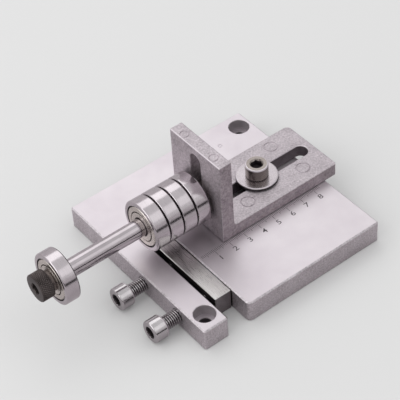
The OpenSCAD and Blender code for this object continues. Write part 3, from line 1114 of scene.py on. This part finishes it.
@dataclass
class Fence:
    """L-shaped casting with its two slots and round pin marks, and the screw that locks it."""

    upright_t: float = 8.0
    foot_t: float = 8.0
    corner_r: float = 0.7
    inner_r: float = 1.6
    edge: float = 0.5
    near_end_r: float = 2.0
    far_end_r: float = 4.2
    end_play: float = 0.01
    plan_steps: int = 8
    slot_w: float = 8.6
    foot_slot_margin: float = 4.2
    rise_slot_margin: float = 4.7
    rise_slot_foot: float = 0.6
    slot_end: float = 1.0
    flare: float = 0.35
    foot_marks: tuple[tuple[float, float], ...] = ((51.7, -7.3), (49.4, 17.6), (11.7, -7.9))
    foot_mark_r: float = 3.8
    top_marks: tuple[tuple[float, float], ...] = ((-9.5, 16.3), (-9.5, -8.2))
    top_mark_r: float = 2.5
    groove_w: float = 0.7
    groove_depth: float = 0.35
    washer_edge: float = 0.8
    washer_bore_r: float = 4.25
    lock: CapScrew = field(default_factory=lambda: CapScrew(
        head_d=13.0, head_h=8.0, thread_d=8.0, pitch=1.25, length=20.0, bright_depth=2.0,
        socket_chamfer=0.4))

    def build(self, shop: Workshop) -> None:
        """Builds the casting, its washer and its screw and dresses them.

        Args:
            shop: Maker of the finishes.
        """
        low, high = box_mm("fence")
        back_x = low[0] + self.upright_t
        foot_top = low[2] + self.foot_t
        r = self.corner_r
        outline = rounded([
            (low[0], low[2], r), (high[0], low[2], r), (high[0], foot_top, r),
            (back_x, foot_top, self.inner_r), (back_x, high[2], r), (low[0], high[2], r),
        ])
        levels = edge_levels(-high[1], -low[1], self.edge)
        casting = swept_plate("fence_casting", outline, levels, Axis.TO_FRONT)
        cut(casting, [self.plan(low, high)], Joining.KEEP_SHARED)
        cut(casting, self.cutters(low, high, back_x, foot_top))
        self.paint(casting, low, high, back_x, foot_top)
        shop.dress(casting, "fence", FENCE_CAST, SHADED_RECESS, SHADED_FRONT, MACHINED_AND_HIGHLIGHT, PAINTED_SHADE)
        self.build_lock(shop)

    def plan(self, low: Array, high: Array) -> bpy.types.Object:
        """Block whose outline, seen from above, rounds the two corners at the foot's far end.

        Args:
            low: Lowest corner of the fence.
            high: Highest corner of the fence.

        Returns:
            The block.
        """
        near, far = low[1] - self.end_play, high[1] + self.end_play
        outline = rounded([
            (low[0] - OVER, near, 0), (high[0] + self.end_play, near, self.near_end_r),
            (high[0] + self.end_play, far, self.far_end_r), (low[0] - OVER, far, 0),
        ], steps=self.plan_steps)
        return swept_plate("plan", outline, [(0.0, low[2] - OVER), (0.0, high[2] + OVER)])

    def paint(self, casting: bpy.types.Object, low: Array, high: Array, back_x: float,
              foot_top: float) -> None:
        """Gives the foot's slot and the front painted shade, the top edge a painted highlight and the line
        under the foot a painted shadow.

        Args:
            casting: The fence.
            low: Lowest corner of the fence.
            high: Highest corner of the fence.
            back_x: Back face of the upright plate.
            foot_top: Top of the foot.
        """
        normal, centre = face_table(casting)
        x, y, z = centre.T
        in_slot = np.abs(y - (low[1] + high[1]) / 2) < self.slot_w / 2 + NEAR
        in_slot &= (z < foot_top - NEAR) & (x > back_x + BESIDE) & (x < high[0] - self.slot_end)
        paint_faces(casting, np.select([
            in_slot & (np.abs(normal[:, 2]) < HALFWAY), normal[:, 1] < -SQUARE,
            (normal[:, 0] < -SLANTED) & (normal[:, 2] > SLANTED),
            (normal[:, 2] < -SLANTED) & (z < low[2] + self.corner_r),
        ], [FenceFace.FOOT_SLOT, FenceFace.FRONT, FenceFace.TOP_EDGE, FenceFace.UNDER_EDGE], FenceFace.CAST))

    def cutters(self, low: Array, high: Array, back_x: float, foot_top: float) -> list[bpy.types.Object]:
        """Cutters for both slots and the pin marks.

        Args:
            low: Lowest corner of the fence.
            high: Highest corner of the fence.
            back_x: Back face of the upright plate.
            foot_top: Top of the foot.

        Returns:
            The cutters.
        """
        middle_y = (low[1] + high[1]) / 2
        half = self.slot_w / 2
        start_x = back_x + self.foot_slot_margin + half
        end_x = high[0] - self.foot_slot_margin - half
        foot_slot = obround((start_x, middle_y), (end_x, middle_y), self.slot_w)
        slot_low = foot_top + self.rise_slot_foot + half
        slot_high = high[2] - self.rise_slot_margin - half
        rise_slot = obround((-slot_high, middle_y), (-slot_low, middle_y), self.slot_w)
        made = [
            swept_plate("foot_slot", foot_slot, flared_levels(low[2], foot_top, self.flare)),
            swept_plate("rise_slot", rise_slot, flared_levels(low[0], back_x, self.flare), Axis.TO_RIGHT),
        ]
        marks = [((*mark, foot_top), self.foot_mark_r) for mark in self.foot_marks]
        marks += [((*mark, high[2]), self.top_mark_r) for mark in self.top_marks]
        return made + [groove_ring(*mark, self.groove_w, self.groove_depth) for mark in marks]

    def build_lock(self, shop: Workshop) -> None:
        """Builds the lock washer and the lock screw.

        Args:
            shop: Maker of the finishes.
        """
        low, high = box_mm("lock_washer")
        middle = centre_mm("lock_washer")
        outer_r = (high[0] - low[0]) / 2
        profile = washer_profile(self.washer_bore_r, outer_r, high[2] - low[2], self.washer_edge)
        washer = ring("lock_washer_stamped", profile, Axis.UP, (middle[0], middle[1], low[2]))
        # The side and the underside take painted shade, the rounded top edge a painted highlight
        up = face_table(washer)[0][:, 2]
        places = [WasherFace.UNDER, WasherFace.EDGE]
        paint_faces(washer, np.select([up < SLANTED, up < FLAT], places, WasherFace.TOP))
        shop.dress(washer, "lock_washer", STAMPED, MACHINED_AND_HIGHLIGHT, PAINTED_SHADE)
        head_z = box_mm("lock_screw")[1][2] - self.lock.head_h
        screw = self.lock.build("lock_screw_turned", Axis.UP, (middle[0], middle[1], head_z))
        # Painted shade in the thread's roots and the socket, and a painted highlight on the head's rim
        shop.dress(screw, "lock_screw", FORGED, PAINTED_SHADE, FORGED, FORGED, MACHINED_AND_HIGHLIGHT)


@dataclass
class Bearing:
    """Shielded ball bearing along +X, with its profile measured from its left face."""

    width: float = 9.0
    bore_r: float = 5.025
    outer_r: float = 15.0
    ring_wall: float = 3.4
    pitch_r: float = 10.0
    race_r: float = 2.45
    side_gap: float = 0.1
    far_gap: float = 0.45
    shield_seat: float = 0.8
    shield_t: float = 0.65
    shield_inset: float = 0.15
    shield_gap: float = 0.55
    shield_lip: float = 0.6
    lip_depth: float = 0.5
    lip_slope: float = 0.3
    lip_r: float = 0.08
    band_r: float = 0.15
    sheet_edge: float = 0.05
    sheet_steps: int = 3
    seat_play: float = 0.025
    rim_r: float = 0.9
    rim_slant: float = 0.35
    bore_edge: float = 1.0
    fine_edge: float = 0.12
    steps: int = 128

    def build(self, name: str, shop: Workshop) -> None:
        """Builds the rings and the shields of one bearing and dresses them.

        Args:
            name: Name of the roller.
            shop: Maker of the finishes.
        """
        place = axis_point(f"{name}_inner_ring", f"{name}_inner_ring")
        outer = ring(f"{name}_outer_race", self.outer_profile(), Axis.TO_RIGHT, place, self.steps)
        inner = ring(f"{name}_inner_race", self.inner_profile(), Axis.TO_RIGHT, place, self.steps)
        shield = self.build_shields(name, place)
        for piece in (outer, inner, shield):
            self.paint(piece, place)
        shop.dress(outer, f"{name}_outer_ring", BEARING, PAINTED_SHADE)
        shop.dress(inner, f"{name}_inner_ring", SHEET, PAINTED_SHADE)
        shop.dress(shield, f"{name}_shields", SHEET, PAINTED_SHADE)
        shop.repaint(f"{name}_balls", BEARING)
        shop.repaint(f"{name}_cage", SHEET)

    def paint(self, piece: bpy.types.Object, place: Corner) -> None:
        """Gives the second finish, painted shade, to the places where shade falls.

        They are the right-hand rim beside the next bearing, the seat and the sunk lip of the shields, and the
        edges of the bore.

        Args:
            piece: One of the bearing's pieces.
            place: Middle of the bearing's left face.
        """
        normal, centre = face_table(piece)
        across = normal[:, 0]
        radius = np.hypot(centre[:, 1] - place[1], centre[:, 2] - place[2])
        seat = self.outer_r - self.ring_wall + self.shield_seat
        rim = (radius > self.outer_r - self.rim_r) & (across > self.rim_slant) & (across < FLAT)
        sunk = (radius > seat - self.shield_lip) & (radius < seat + NEAR)
        bore = (radius < self.bore_r + self.bore_edge) & (np.abs(across) < FLAT)
        paint_faces(piece, rim | sunk | bore)

    def far(self, height: float | Array) -> float | Array:
        """Height that mirrors another one about the middle of the outer ring."""
        return self.width - self.far_gap + self.side_gap - height

    def race(self, wall_r: float, steps: int = 10) -> Array:
        """Groove for the balls, an arc about the pitch circle, from low to high.

        Args:
            wall_r: Radius of the ring's wall beside the groove.
            steps: Number of chords.

        Returns:
            Points of radius and height.
        """
        side = math.copysign(1, wall_r - self.pitch_r)
        reach = math.acos(abs(wall_r - self.pitch_r) / self.race_r)
        turn = np.linspace(-reach, reach, steps + 1)
        return np.column_stack([self.pitch_r + side * self.race_r * np.cos(turn),
                                self.width / 2 + self.race_r * np.sin(turn)])

    def outer_profile(self) -> Array:
        """Outer ring: rounded rims, shield seats and the ball groove.

        Returns:
            Points of radius and height.
        """
        wall = self.outer_r - self.ring_wall
        seat = wall + self.shield_seat
        depth = self.shield_inset + self.shield_t
        low, high = self.side_gap, self.width - self.far_gap
        fine = self.fine_edge
        outside = rounded([
            (wall, self.far(depth), 0), (seat, self.far(depth), 0), (seat, high, fine),
            (self.outer_r, high, self.rim_r), (self.outer_r, low, self.rim_r), (seat, low, fine),
            (seat, depth, 0), (wall, depth, 0),
        ], closed=False)
        return np.concatenate([outside, self.race(wall)])

    def inner_profile(self) -> Array:
        """Inner ring: rounded bore edges and the ball groove.

        Returns:
            Points of radius and height.
        """
        wall = self.pitch_r * 2 - self.outer_r + self.ring_wall
        middle = self.width / 2
        inside = rounded([
            (wall, middle + self.race_r, 0), (wall, self.width, self.fine_edge),
            (self.bore_r, self.width, self.bore_edge), (self.bore_r, 0, self.bore_edge),
            (wall, 0, self.fine_edge), (wall, middle - self.race_r, 0),
        ], closed=False)
        return np.concatenate([inside, self.race(wall)])

    def build_shields(self, name: str, place: Corner) -> bpy.types.Object:
        """Two pressed shields in one mesh, each with a raised band between a rolled rim and a sunk lip.

        Args:
            name: Name of the roller.
            place: Middle of the bearing's left face.

        Returns:
            The new object.
        """
        inner = self.pitch_r * 2 - self.outer_r + self.ring_wall + self.shield_gap
        outer = self.outer_r - self.ring_wall + self.shield_seat - self.seat_play
        front, back = self.shield_inset, self.shield_inset + self.shield_t
        sunk = front + self.lip_depth
        lip = outer - self.shield_lip
        profile = rounded([
            (inner, back, self.sheet_edge), (inner, front, self.band_r),
            (lip - self.lip_slope, front, self.band_r), (lip, sunk, self.lip_r),
            (outer, sunk, self.sheet_edge), (outer, back, self.sheet_edge),
        ], steps=self.sheet_steps)
        heights = (profile[:, 1], self.far(profile[:, 1]))
        rings = [lathe(profile[:, 0], height, self.steps) for height in heights]
        quads = np.array(grid_faces(len(profile), self.steps, True))
        faces = np.concatenate([quads, quads + len(profile) * self.steps]).tolist()
        return new_piece(f"{name}_shield_pair", np.stack(rings), faces, Axis.TO_RIGHT, place)


@dataclass
class RollerShaft:
    """Shaft with its bearings, the nut behind the fence, and the knob with its spring washer."""

    rod_r: float = 5.0
    rod_edge: float = 0.4
    spigot_d: float = 6.0
    spigot_pitch: float = 1.0
    spigot_rows: int = 8
    thread_depth: float = 0.61
    tapped_r: float = 3.05
    tapped_depth: float = 15.0
    tapped_edge: float = 0.2
    washer_bore_r: float = 3.25
    washer_edge: float = 0.2
    nut_t: float = 4.0
    nut_corner_r: float = 1.2
    nut_edge: float = 0.4
    nut_flare: float = 0.4
    boss_w: float = 8.1
    boss_corner_r: float = 0.3
    boss_edge: float = 0.25
    spring_bore_r: float = 3.3
    spring_split_deg: float = 12.0
    spring_edge: float = 0.3
    knob: CapScrew = field(default_factory=lambda: CapScrew(
        head_d=16.0, head_h=7.4, thread_d=6.0, pitch=1.0, length=14.0, knurls=36, steps=288, rows_per_turn=4,
        knurl_depth=0.5, knurl_lead=1.5, ridge_band=0.17))

    def build(self, shop: Workshop) -> None:
        """Builds every piece on the shaft and dresses it.

        Args:
            shop: Maker of the finishes.
        """
        for name in ROLLERS:
            Bearing().build(name, shop)
        self.build_rod(shop)
        self.build_washer(shop)
        self.build_nut(shop)
        self.build_spring(shop)
        left, *middle = axis_point("knob_screw", "roller_shaft")
        knob = self.knob.build("knob_screw_knurled", Axis.TO_LEFT, (left + self.knob.head_h, *middle))
        shop.dress(knob, "knob_screw", BLACKENED, BLACKENED, WORN, BLACKENED, BLACKENED)

    def build_rod(self, shop: Workshop) -> None:
        """Rod with a tapped hole at its left end and a threaded spigot at its right.

        Args:
            shop: Maker of the finishes.
        """
        low, high = box_mm("roller_shaft")
        shoulder = box_mm("shaft_washer")[0][0] - low[0]
        length = high[0] - low[0]
        rod = rounded([
            (0, self.tapped_depth, 0), (self.tapped_r, self.tapped_depth, 0),
            (self.tapped_r, 0, self.tapped_edge), (self.rod_r, 0, self.rod_edge),
            (self.rod_r, shoulder, self.rod_edge), (self.spigot_d / 2, shoulder, 0),
        ], closed=False)
        angle = whole_turn()
        rows = int((length - shoulder) / self.spigot_pitch * self.spigot_rows)
        height = np.linspace(shoulder, length, rows)[1:, None]
        phase = (height / self.spigot_pitch - angle / (2 * math.pi)) % 1
        run_out = np.clip((length - height) / self.spigot_pitch, 0, 1)
        deep = self.thread_depth * self.spigot_pitch
        spigot = self.spigot_d / 2 - deep * (1 - np.abs(2 * phase - 1) * run_out)
        even = np.ones_like(angle)
        radius = np.concatenate([rod[:, :1] * even, spigot, 0 * even[None]])
        tall = np.concatenate([rod[:, 1:] * even, height * even, length * even[None]])
        place = axis_point("roller_shaft", "roller_shaft")
        piece = revolved("roller_shaft_rod", radius, tall, False, Axis.TO_RIGHT, place)
        shop.dress(piece, "roller_shaft", ROD)

    def build_washer(self, shop: Workshop) -> None:
        """Washer between the rollers and the fence.

        Args:
            shop: Maker of the finishes.
        """
        low, high = box_mm("shaft_washer")
        outer_r = (high[1] - low[1]) / 2
        profile = washer_profile(self.washer_bore_r, outer_r, high[0] - low[0], self.washer_edge)
        place = axis_point("shaft_washer", "roller_shaft")
        washer = ring("shaft_washer_stamped", profile, Axis.TO_RIGHT, place)
        shop.dress(washer, "shaft_washer", STAMPED)

    def build_nut(self, shop: Workshop) -> None:
        """Square nut behind the fence, with its boss in the slot.

        Args:
            shop: Maker of the finishes.
        """
        low, high = box_mm("slot_nut")
        deep = high[0] - low[0]
        flange_x = deep - self.nut_t
        place = axis_point("slot_nut", "roller_shaft")
        wide, narrow = (high[1] - low[1]) / 2, self.boss_w / 2
        flange = swept_plate(
            "slot_nut_flanged", rectangle((-wide, -wide), (wide, wide), self.nut_corner_r),
            edge_levels(flange_x, flange_x + self.nut_t, self.nut_edge), Axis.TO_RIGHT, place)
        stem = swept_plate(
            "boss", rectangle((-narrow, -narrow), (narrow, narrow), self.boss_corner_r),
            edge_levels(0, flange_x + OVER, self.boss_edge), Axis.TO_RIGHT, place)
        cut(flange, [stem], Joining.ADD)
        cut(flange, [tapped_hole(self.tapped_r, self.nut_flare, 0, deep, Axis.TO_RIGHT, place)])
        shop.dress(flange, "slot_nut", BLACKENED)

    def build_spring(self, shop: Workshop) -> None:
        """Split spring washer: a rounded bar carried round the axis, short of a full turn.

        Args:
            shop: Maker of the finishes.
        """
        low, high = box_mm("knob_spring_washer")
        outer = (high[1] - low[1]) / 2
        profile = washer_profile(self.spring_bore_r, outer, high[0] - low[0], self.spring_edge)
        count = len(profile)
        turn = np.radians(np.linspace(self.spring_split_deg, 360, ROUND))[:, None]
        grid = np.stack([profile[:, 0] * np.cos(turn), profile[:, 0] * np.sin(turn),
                         np.broadcast_to(profile[:, 1], (ROUND, count))], axis=-1)
        faces = grid_faces(ROUND, count, wrap_rows=False)
        faces.append(list(range(count)))
        faces.append(list(range((ROUND - 1) * count, ROUND * count)))
        place = axis_point("knob_spring_washer", "roller_shaft")
        spring = new_piece("knob_spring_washer_split", grid, faces, Axis.TO_RIGHT, place)
        shop.dress(spring, "knob_spring_washer", WORN)


@dataclass
class Ruler:
    """Printed scale on the base, with its zero at the blade's wall."""

    length_mm: int = 84
    first_mm: int = 2
    cm: int = 10
    near_y: float = -17.0
    tick_ends: tuple[float, float, float] = (-19.2, -20.2, -22.1)
    tick_w: float = 0.22
    ink_t: float = 0.012
    number_y: float = -24.75
    number_h: float = 3.4
    figure_share: float = 0.7
    number_steps: int = 3
    number_wide: float = 1.2
    number_bold: float = 0.02
    numbers: int = 8
    zero_shift: float = 0.35

    def build(self, shop: Workshop) -> None:
        """Builds the ticks and the numbers and prints them on the base.

        Args:
            shop: Maker of the finishes.
        """
        zero = box_mm("cutting_blade")[1][0] + self.zero_shift
        top = box_mm("base_plate")[1][2]
        for piece in (self.ticks(zero, top), self.digits(zero, top)):
            shop.coat(piece, INK)
            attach(piece, BODY_OF["base_plate"])
            log.info("%s is printed on the base", piece.name)

    def ticks(self, zero: float, top: float) -> bpy.types.Object:
        """Thin bars, one per millimetre, longer at each half and whole centimetre.

        Args:
            zero: Place of the scale's zero along X.
            top: Height of the base's top.

        Returns:
            The new object.
        """
        count = np.arange(self.first_mm, self.length_mm + 1)
        short, half_cm, whole_cm = self.tick_ends
        cases = [count % self.cm == 0, count % (self.cm // 2) == 0]
        end = np.select(cases, [whole_cm, half_cm], short)
        half = self.tick_w / 2
        corner = np.array([(x, y, z) for z in (0, 1) for x, y in ((-1, 0), (1, 0), (1, 1), (-1, 1))])
        x = zero + count[:, None] + half * corner[:, 0]
        y = np.where(corner[:, 1] == 0, end[:, None], self.near_y)
        z = np.broadcast_to(top + self.ink_t * corner[:, 2], x.shape)
        bar = np.array([
            (0, 3, 2, 1), (4, 5, 6, 7), (0, 1, 5, 4), (1, 2, 6, 5), (2, 3, 7, 6), (3, 0, 4, 7),
        ])
        faces = bar[None] + len(corner) * np.arange(len(count))[:, None, None]
        return new_piece("ruler_ticks", np.stack([x, y, z], axis=-1), faces.reshape(-1, 4).tolist())

    def digits(self, zero: float, top: float) -> bpy.types.Object:
        """Centimetre numbers, set flat on the base.

        Args:
            zero: Place of the scale's zero along X.
            top: Height of the base's top.

        Returns:
            The new object.
        """
        points: list[Array] = []
        faces: list[list[int]] = []
        start = 0
        for number in range(1, self.numbers + 1):
            curve = bpy.data.curves.new("digit", "FONT")
            curve.body = str(number)
            curve.align_x = "CENTER"
            curve.align_y = "CENTER"
            curve.size = self.number_h / self.figure_share
            curve.extrude = self.ink_t / 2
            curve.offset = self.number_bold
            curve.resolution_u = self.number_steps
            digit = bpy.data.objects.new("digit", curve)
            bpy.context.scene.collection.objects.link(digit)
            graph = bpy.context.evaluated_depsgraph_get()
            mesh = bpy.data.meshes.new_from_object(digit.evaluated_get(graph))
            flat = np.zeros(len(mesh.vertices) * 3)
            mesh.vertices.foreach_get("co", flat)
            place = (zero + self.cm * number, self.number_y, top + self.ink_t / 2)
            points.append(flat.reshape(-1, 3) * (self.number_wide, 1, 1) + np.array(place))
            faces += [[start + v for v in face.vertices] for face in mesh.polygons]
            start += len(mesh.vertices)
            bpy.data.objects.remove(digit)
            bpy.data.meshes.remove(mesh)
        return new_piece("ruler_numbers", np.concatenate(points), faces)


@dataclass(frozen=True)
class Lamp:
    """Soft lamp: where it hangs, its width and height, and its power in watts."""

    name: str
    place: Corner
    sides: tuple[float, float]
    watts: float


@dataclass(frozen=True)
class Card:
    """Upright card that faces along Y: its middle, half its width and height, and its colour."""

    name: str
    middle: Corner
    half: tuple[float, float]
    colour: str


@dataclass
class Studio:
    """Floor, soft light, pale surroundings and the camera."""

    floor_colour: str = "#cccccc"
    mirrored_floor: str = "#b2aeb0"
    floor_r: float = 4000.0
    target: tuple[float, float, float] = (-2.4, 17.1, 14.0)
    azimuth_deg: float = -35.04
    elevation_deg: float = 44.48
    roll_deg: float = -4.38
    distance: float = 840.8
    focal_px: float = 1520.3
    image_px: float = 400.0
    sensor: float = 36.0
    sky: float = 1.02
    mirrored_sky: float = 0.8
    backdrop: float = 0.776
    band_r: float = 520.0
    band_h: float = 100.0
    band_deg: tuple[float, float] = (200.0, 390.0)
    band_colour: str = "#161315"
    matt: float = 0.9
    floor_gloss: float = 0.1
    clip: tuple[float, float] = (0.01, 20.0)
    cards: tuple[Card, ...] = (
        Card("back_card", (500, 1700, 510), (1500, 500), "#d8d4d6"),
        Card("front_card", (500, -1250, 360), (1200, 220), "#c8c4c6"),
    )
    lamps: tuple[Lamp, ...] = (
        Lamp("back_softbox", (0, 923, 1163), (1950, 950), 4.44),
        Lamp("front_softbox", (613, -733, 1163), (1400, 700), 1.03),
        Lamp("left_softbox", (-1100, 150, 700), (1000, 1000), 3.78),
    )

    def build(self) -> None:
        """Builds the stage round the object."""
        self.build_floor()
        self.build_band()
        self.build_cards()
        self.build_world()
        self.build_camera()
        for lamp in self.lamps:
            self.hang(lamp)
        log.info("studio is set")

    def build_floor(self) -> None:
        """Pale round floor under the base."""
        rim = whole_turn()
        points = self.floor_r * np.stack([np.cos(rim), np.sin(rim), 0 * rim], axis=-1)
        floor = new_piece("floor", points, [list(range(ROUND))])
        material = self.board("painted_board_matt", self.floor_colour)
        shader = material.node_tree.nodes["Principled BSDF"]
        path = add_node(material.node_tree, "ShaderNodeLightPath")
        tone = add_node(material.node_tree, "ShaderNodeMix", {
            0: path.outputs["Is Glossy Ray"], 6: linear(self.floor_colour), 7: linear(self.mirrored_floor),
        }, data_type="RGBA").outputs[2]
        material.node_tree.links.new(tone, shader.inputs["Base Color"])
        shader.inputs["Specular IOR Level"].default_value = self.floor_gloss
        floor.data.materials.append(material)

    def board(self, name: str, colour: str) -> bpy.types.Material:
        """Matt painted board.

        Args:
            name: Name of the material.
            colour: Its colour.

        Returns:
            The new material.
        """
        material = bpy.data.materials.new(name)
        material.use_nodes = True
        shader = material.node_tree.nodes["Principled BSDF"]
        shader.inputs["Base Color"].default_value = linear(colour)
        shader.inputs["Roughness"].default_value = self.matt
        return material

    def build_band(self) -> None:
        """Dark band low round the front and right, that polished metal shows as a thin dark line."""
        turn = np.radians(np.linspace(*self.band_deg, ROUND))
        foot = self.band_r * np.stack([np.cos(turn), np.sin(turn), 0 * turn], axis=-1)
        outline = np.concatenate([foot, (foot + np.array([0, 0, self.band_h]))[::-1]])
        here = np.arange(ROUND - 1)
        above = 2 * ROUND - 1 - here
        faces = np.stack([here, here + 1, above - 1, above], axis=-1)
        self.paint_card(new_piece("dark_band", outline, faces.tolist()), self.band_colour)

    def build_cards(self) -> None:
        """Two grey cards, out of the picture, that round metal shows as soft grey bands."""
        for card in self.cards:
            wide, tall = card.half
            corners = np.array([(wide * x, 0, tall * z) for x, z in SQUARE_CORNERS]) + card.middle
            self.paint_card(new_piece(card.name, corners, [[0, 1, 2, 3]]), card.colour)

    def paint_card(self, card: bpy.types.Object, colour: str) -> None:
        """Gives a card its matt colour and lets only reflections see it.

        Args:
            card: The card.
            colour: Its colour.
        """
        card.data.materials.append(self.board("matt_card", colour))
        card.visible_camera = False
        card.visible_diffuse = False
        card.visible_shadow = False

    def build_world(self) -> None:
        """Even sky, with its own strength for light, for reflections and for the camera's backdrop."""
        world = bpy.data.worlds.new("pale_room")
        bpy.context.scene.world = world
        world.use_nodes = True
        tree = world.node_tree
        tree.nodes.clear()
        path = add_node(tree, "ShaderNodeLightPath")
        mirrored = add_node(tree, "ShaderNodeMapRange", {
            "Value": path.outputs["Is Glossy Ray"], "To Min": self.sky, "To Max": self.mirrored_sky,
        }).outputs[0]
        seen = add_node(tree, "ShaderNodeMath", {
            0: path.outputs["Is Camera Ray"], 1: path.outputs["Is Transmission Ray"],
        }, operation="MAXIMUM").outputs[0]
        strength = add_node(tree, "ShaderNodeMix", {0: seen, 2: mirrored, 3: self.backdrop})
        back = add_node(tree, "ShaderNodeBackground", {
            "Color": (1.0, 1.0, 1.0, 1.0), "Strength": strength.outputs[0],
        })
        add_node(tree, "ShaderNodeOutputWorld", {"Surface": back.outputs[0]})

    def build_camera(self) -> None:
        """Camera at the fitted direction, distance and roll."""
        angles = (self.azimuth_deg, self.elevation_deg, self.roll_deg)
        turn, rise, roll = (math.radians(angle) for angle in angles)
        back = Vector((math.sin(turn) * math.cos(rise), -math.cos(turn) * math.cos(rise), math.sin(rise)))
        right = (-back).cross(Vector((0, 0, 1))).normalized()
        up = right.cross(-back)
        across = right * math.cos(roll) + up * math.sin(roll)
        upright = -right * math.sin(roll) + up * math.cos(roll)
        data = bpy.data.cameras.new("camera")
        data.sensor_width = self.sensor
        data.lens = self.focal_px / self.image_px * self.sensor
        data.clip_start, data.clip_end = self.clip
        camera = bpy.data.objects.new("camera", data)
        place = (Vector(self.target) + back * self.distance) * MM
        axes = Matrix((across, upright, back)).transposed().to_4x4()
        camera.matrix_world = Matrix.Translation(place) @ axes
        bpy.context.scene.collection.objects.link(camera)
        bpy.context.scene.camera = camera

    def hang(self, lamp: Lamp) -> None:
        """Hangs a soft lamp, aimed at the object.

        Args:
            lamp: The lamp.
        """
        data = bpy.data.lights.new(lamp.name, "AREA")
        data.shape = "RECTANGLE"
        data.size = lamp.sides[0] * MM
        data.size_y = lamp.sides[1] * MM
        data.energy = lamp.watts
        hung = bpy.data.objects.new(lamp.name, data)
        aim = Vector(lamp.place) - Vector(self.target)
        turn = aim.to_track_quat("Z", "Y").to_matrix().to_4x4()
        hung.matrix_world = Matrix.Translation(Vector(lamp.place) * MM) @ turn
        bpy.context.scene.collection.objects.link(hung)


def main() -> None:
    """Builds the studio and every piece of the cutter."""
    logging.basicConfig(level=logging.INFO, format="%(name)s: %(message)s")
    bpy.context.scene.view_settings.view_transform = "Standard"
    Studio().build()
    shop = Workshop()
    BasePlate().build(shop)
    BladeClamp().build(shop)
    Fence().build(shop)
    RollerShaft().build(shop)
    Ruler().build(shop)


if __name__ == "__main__":
    main()
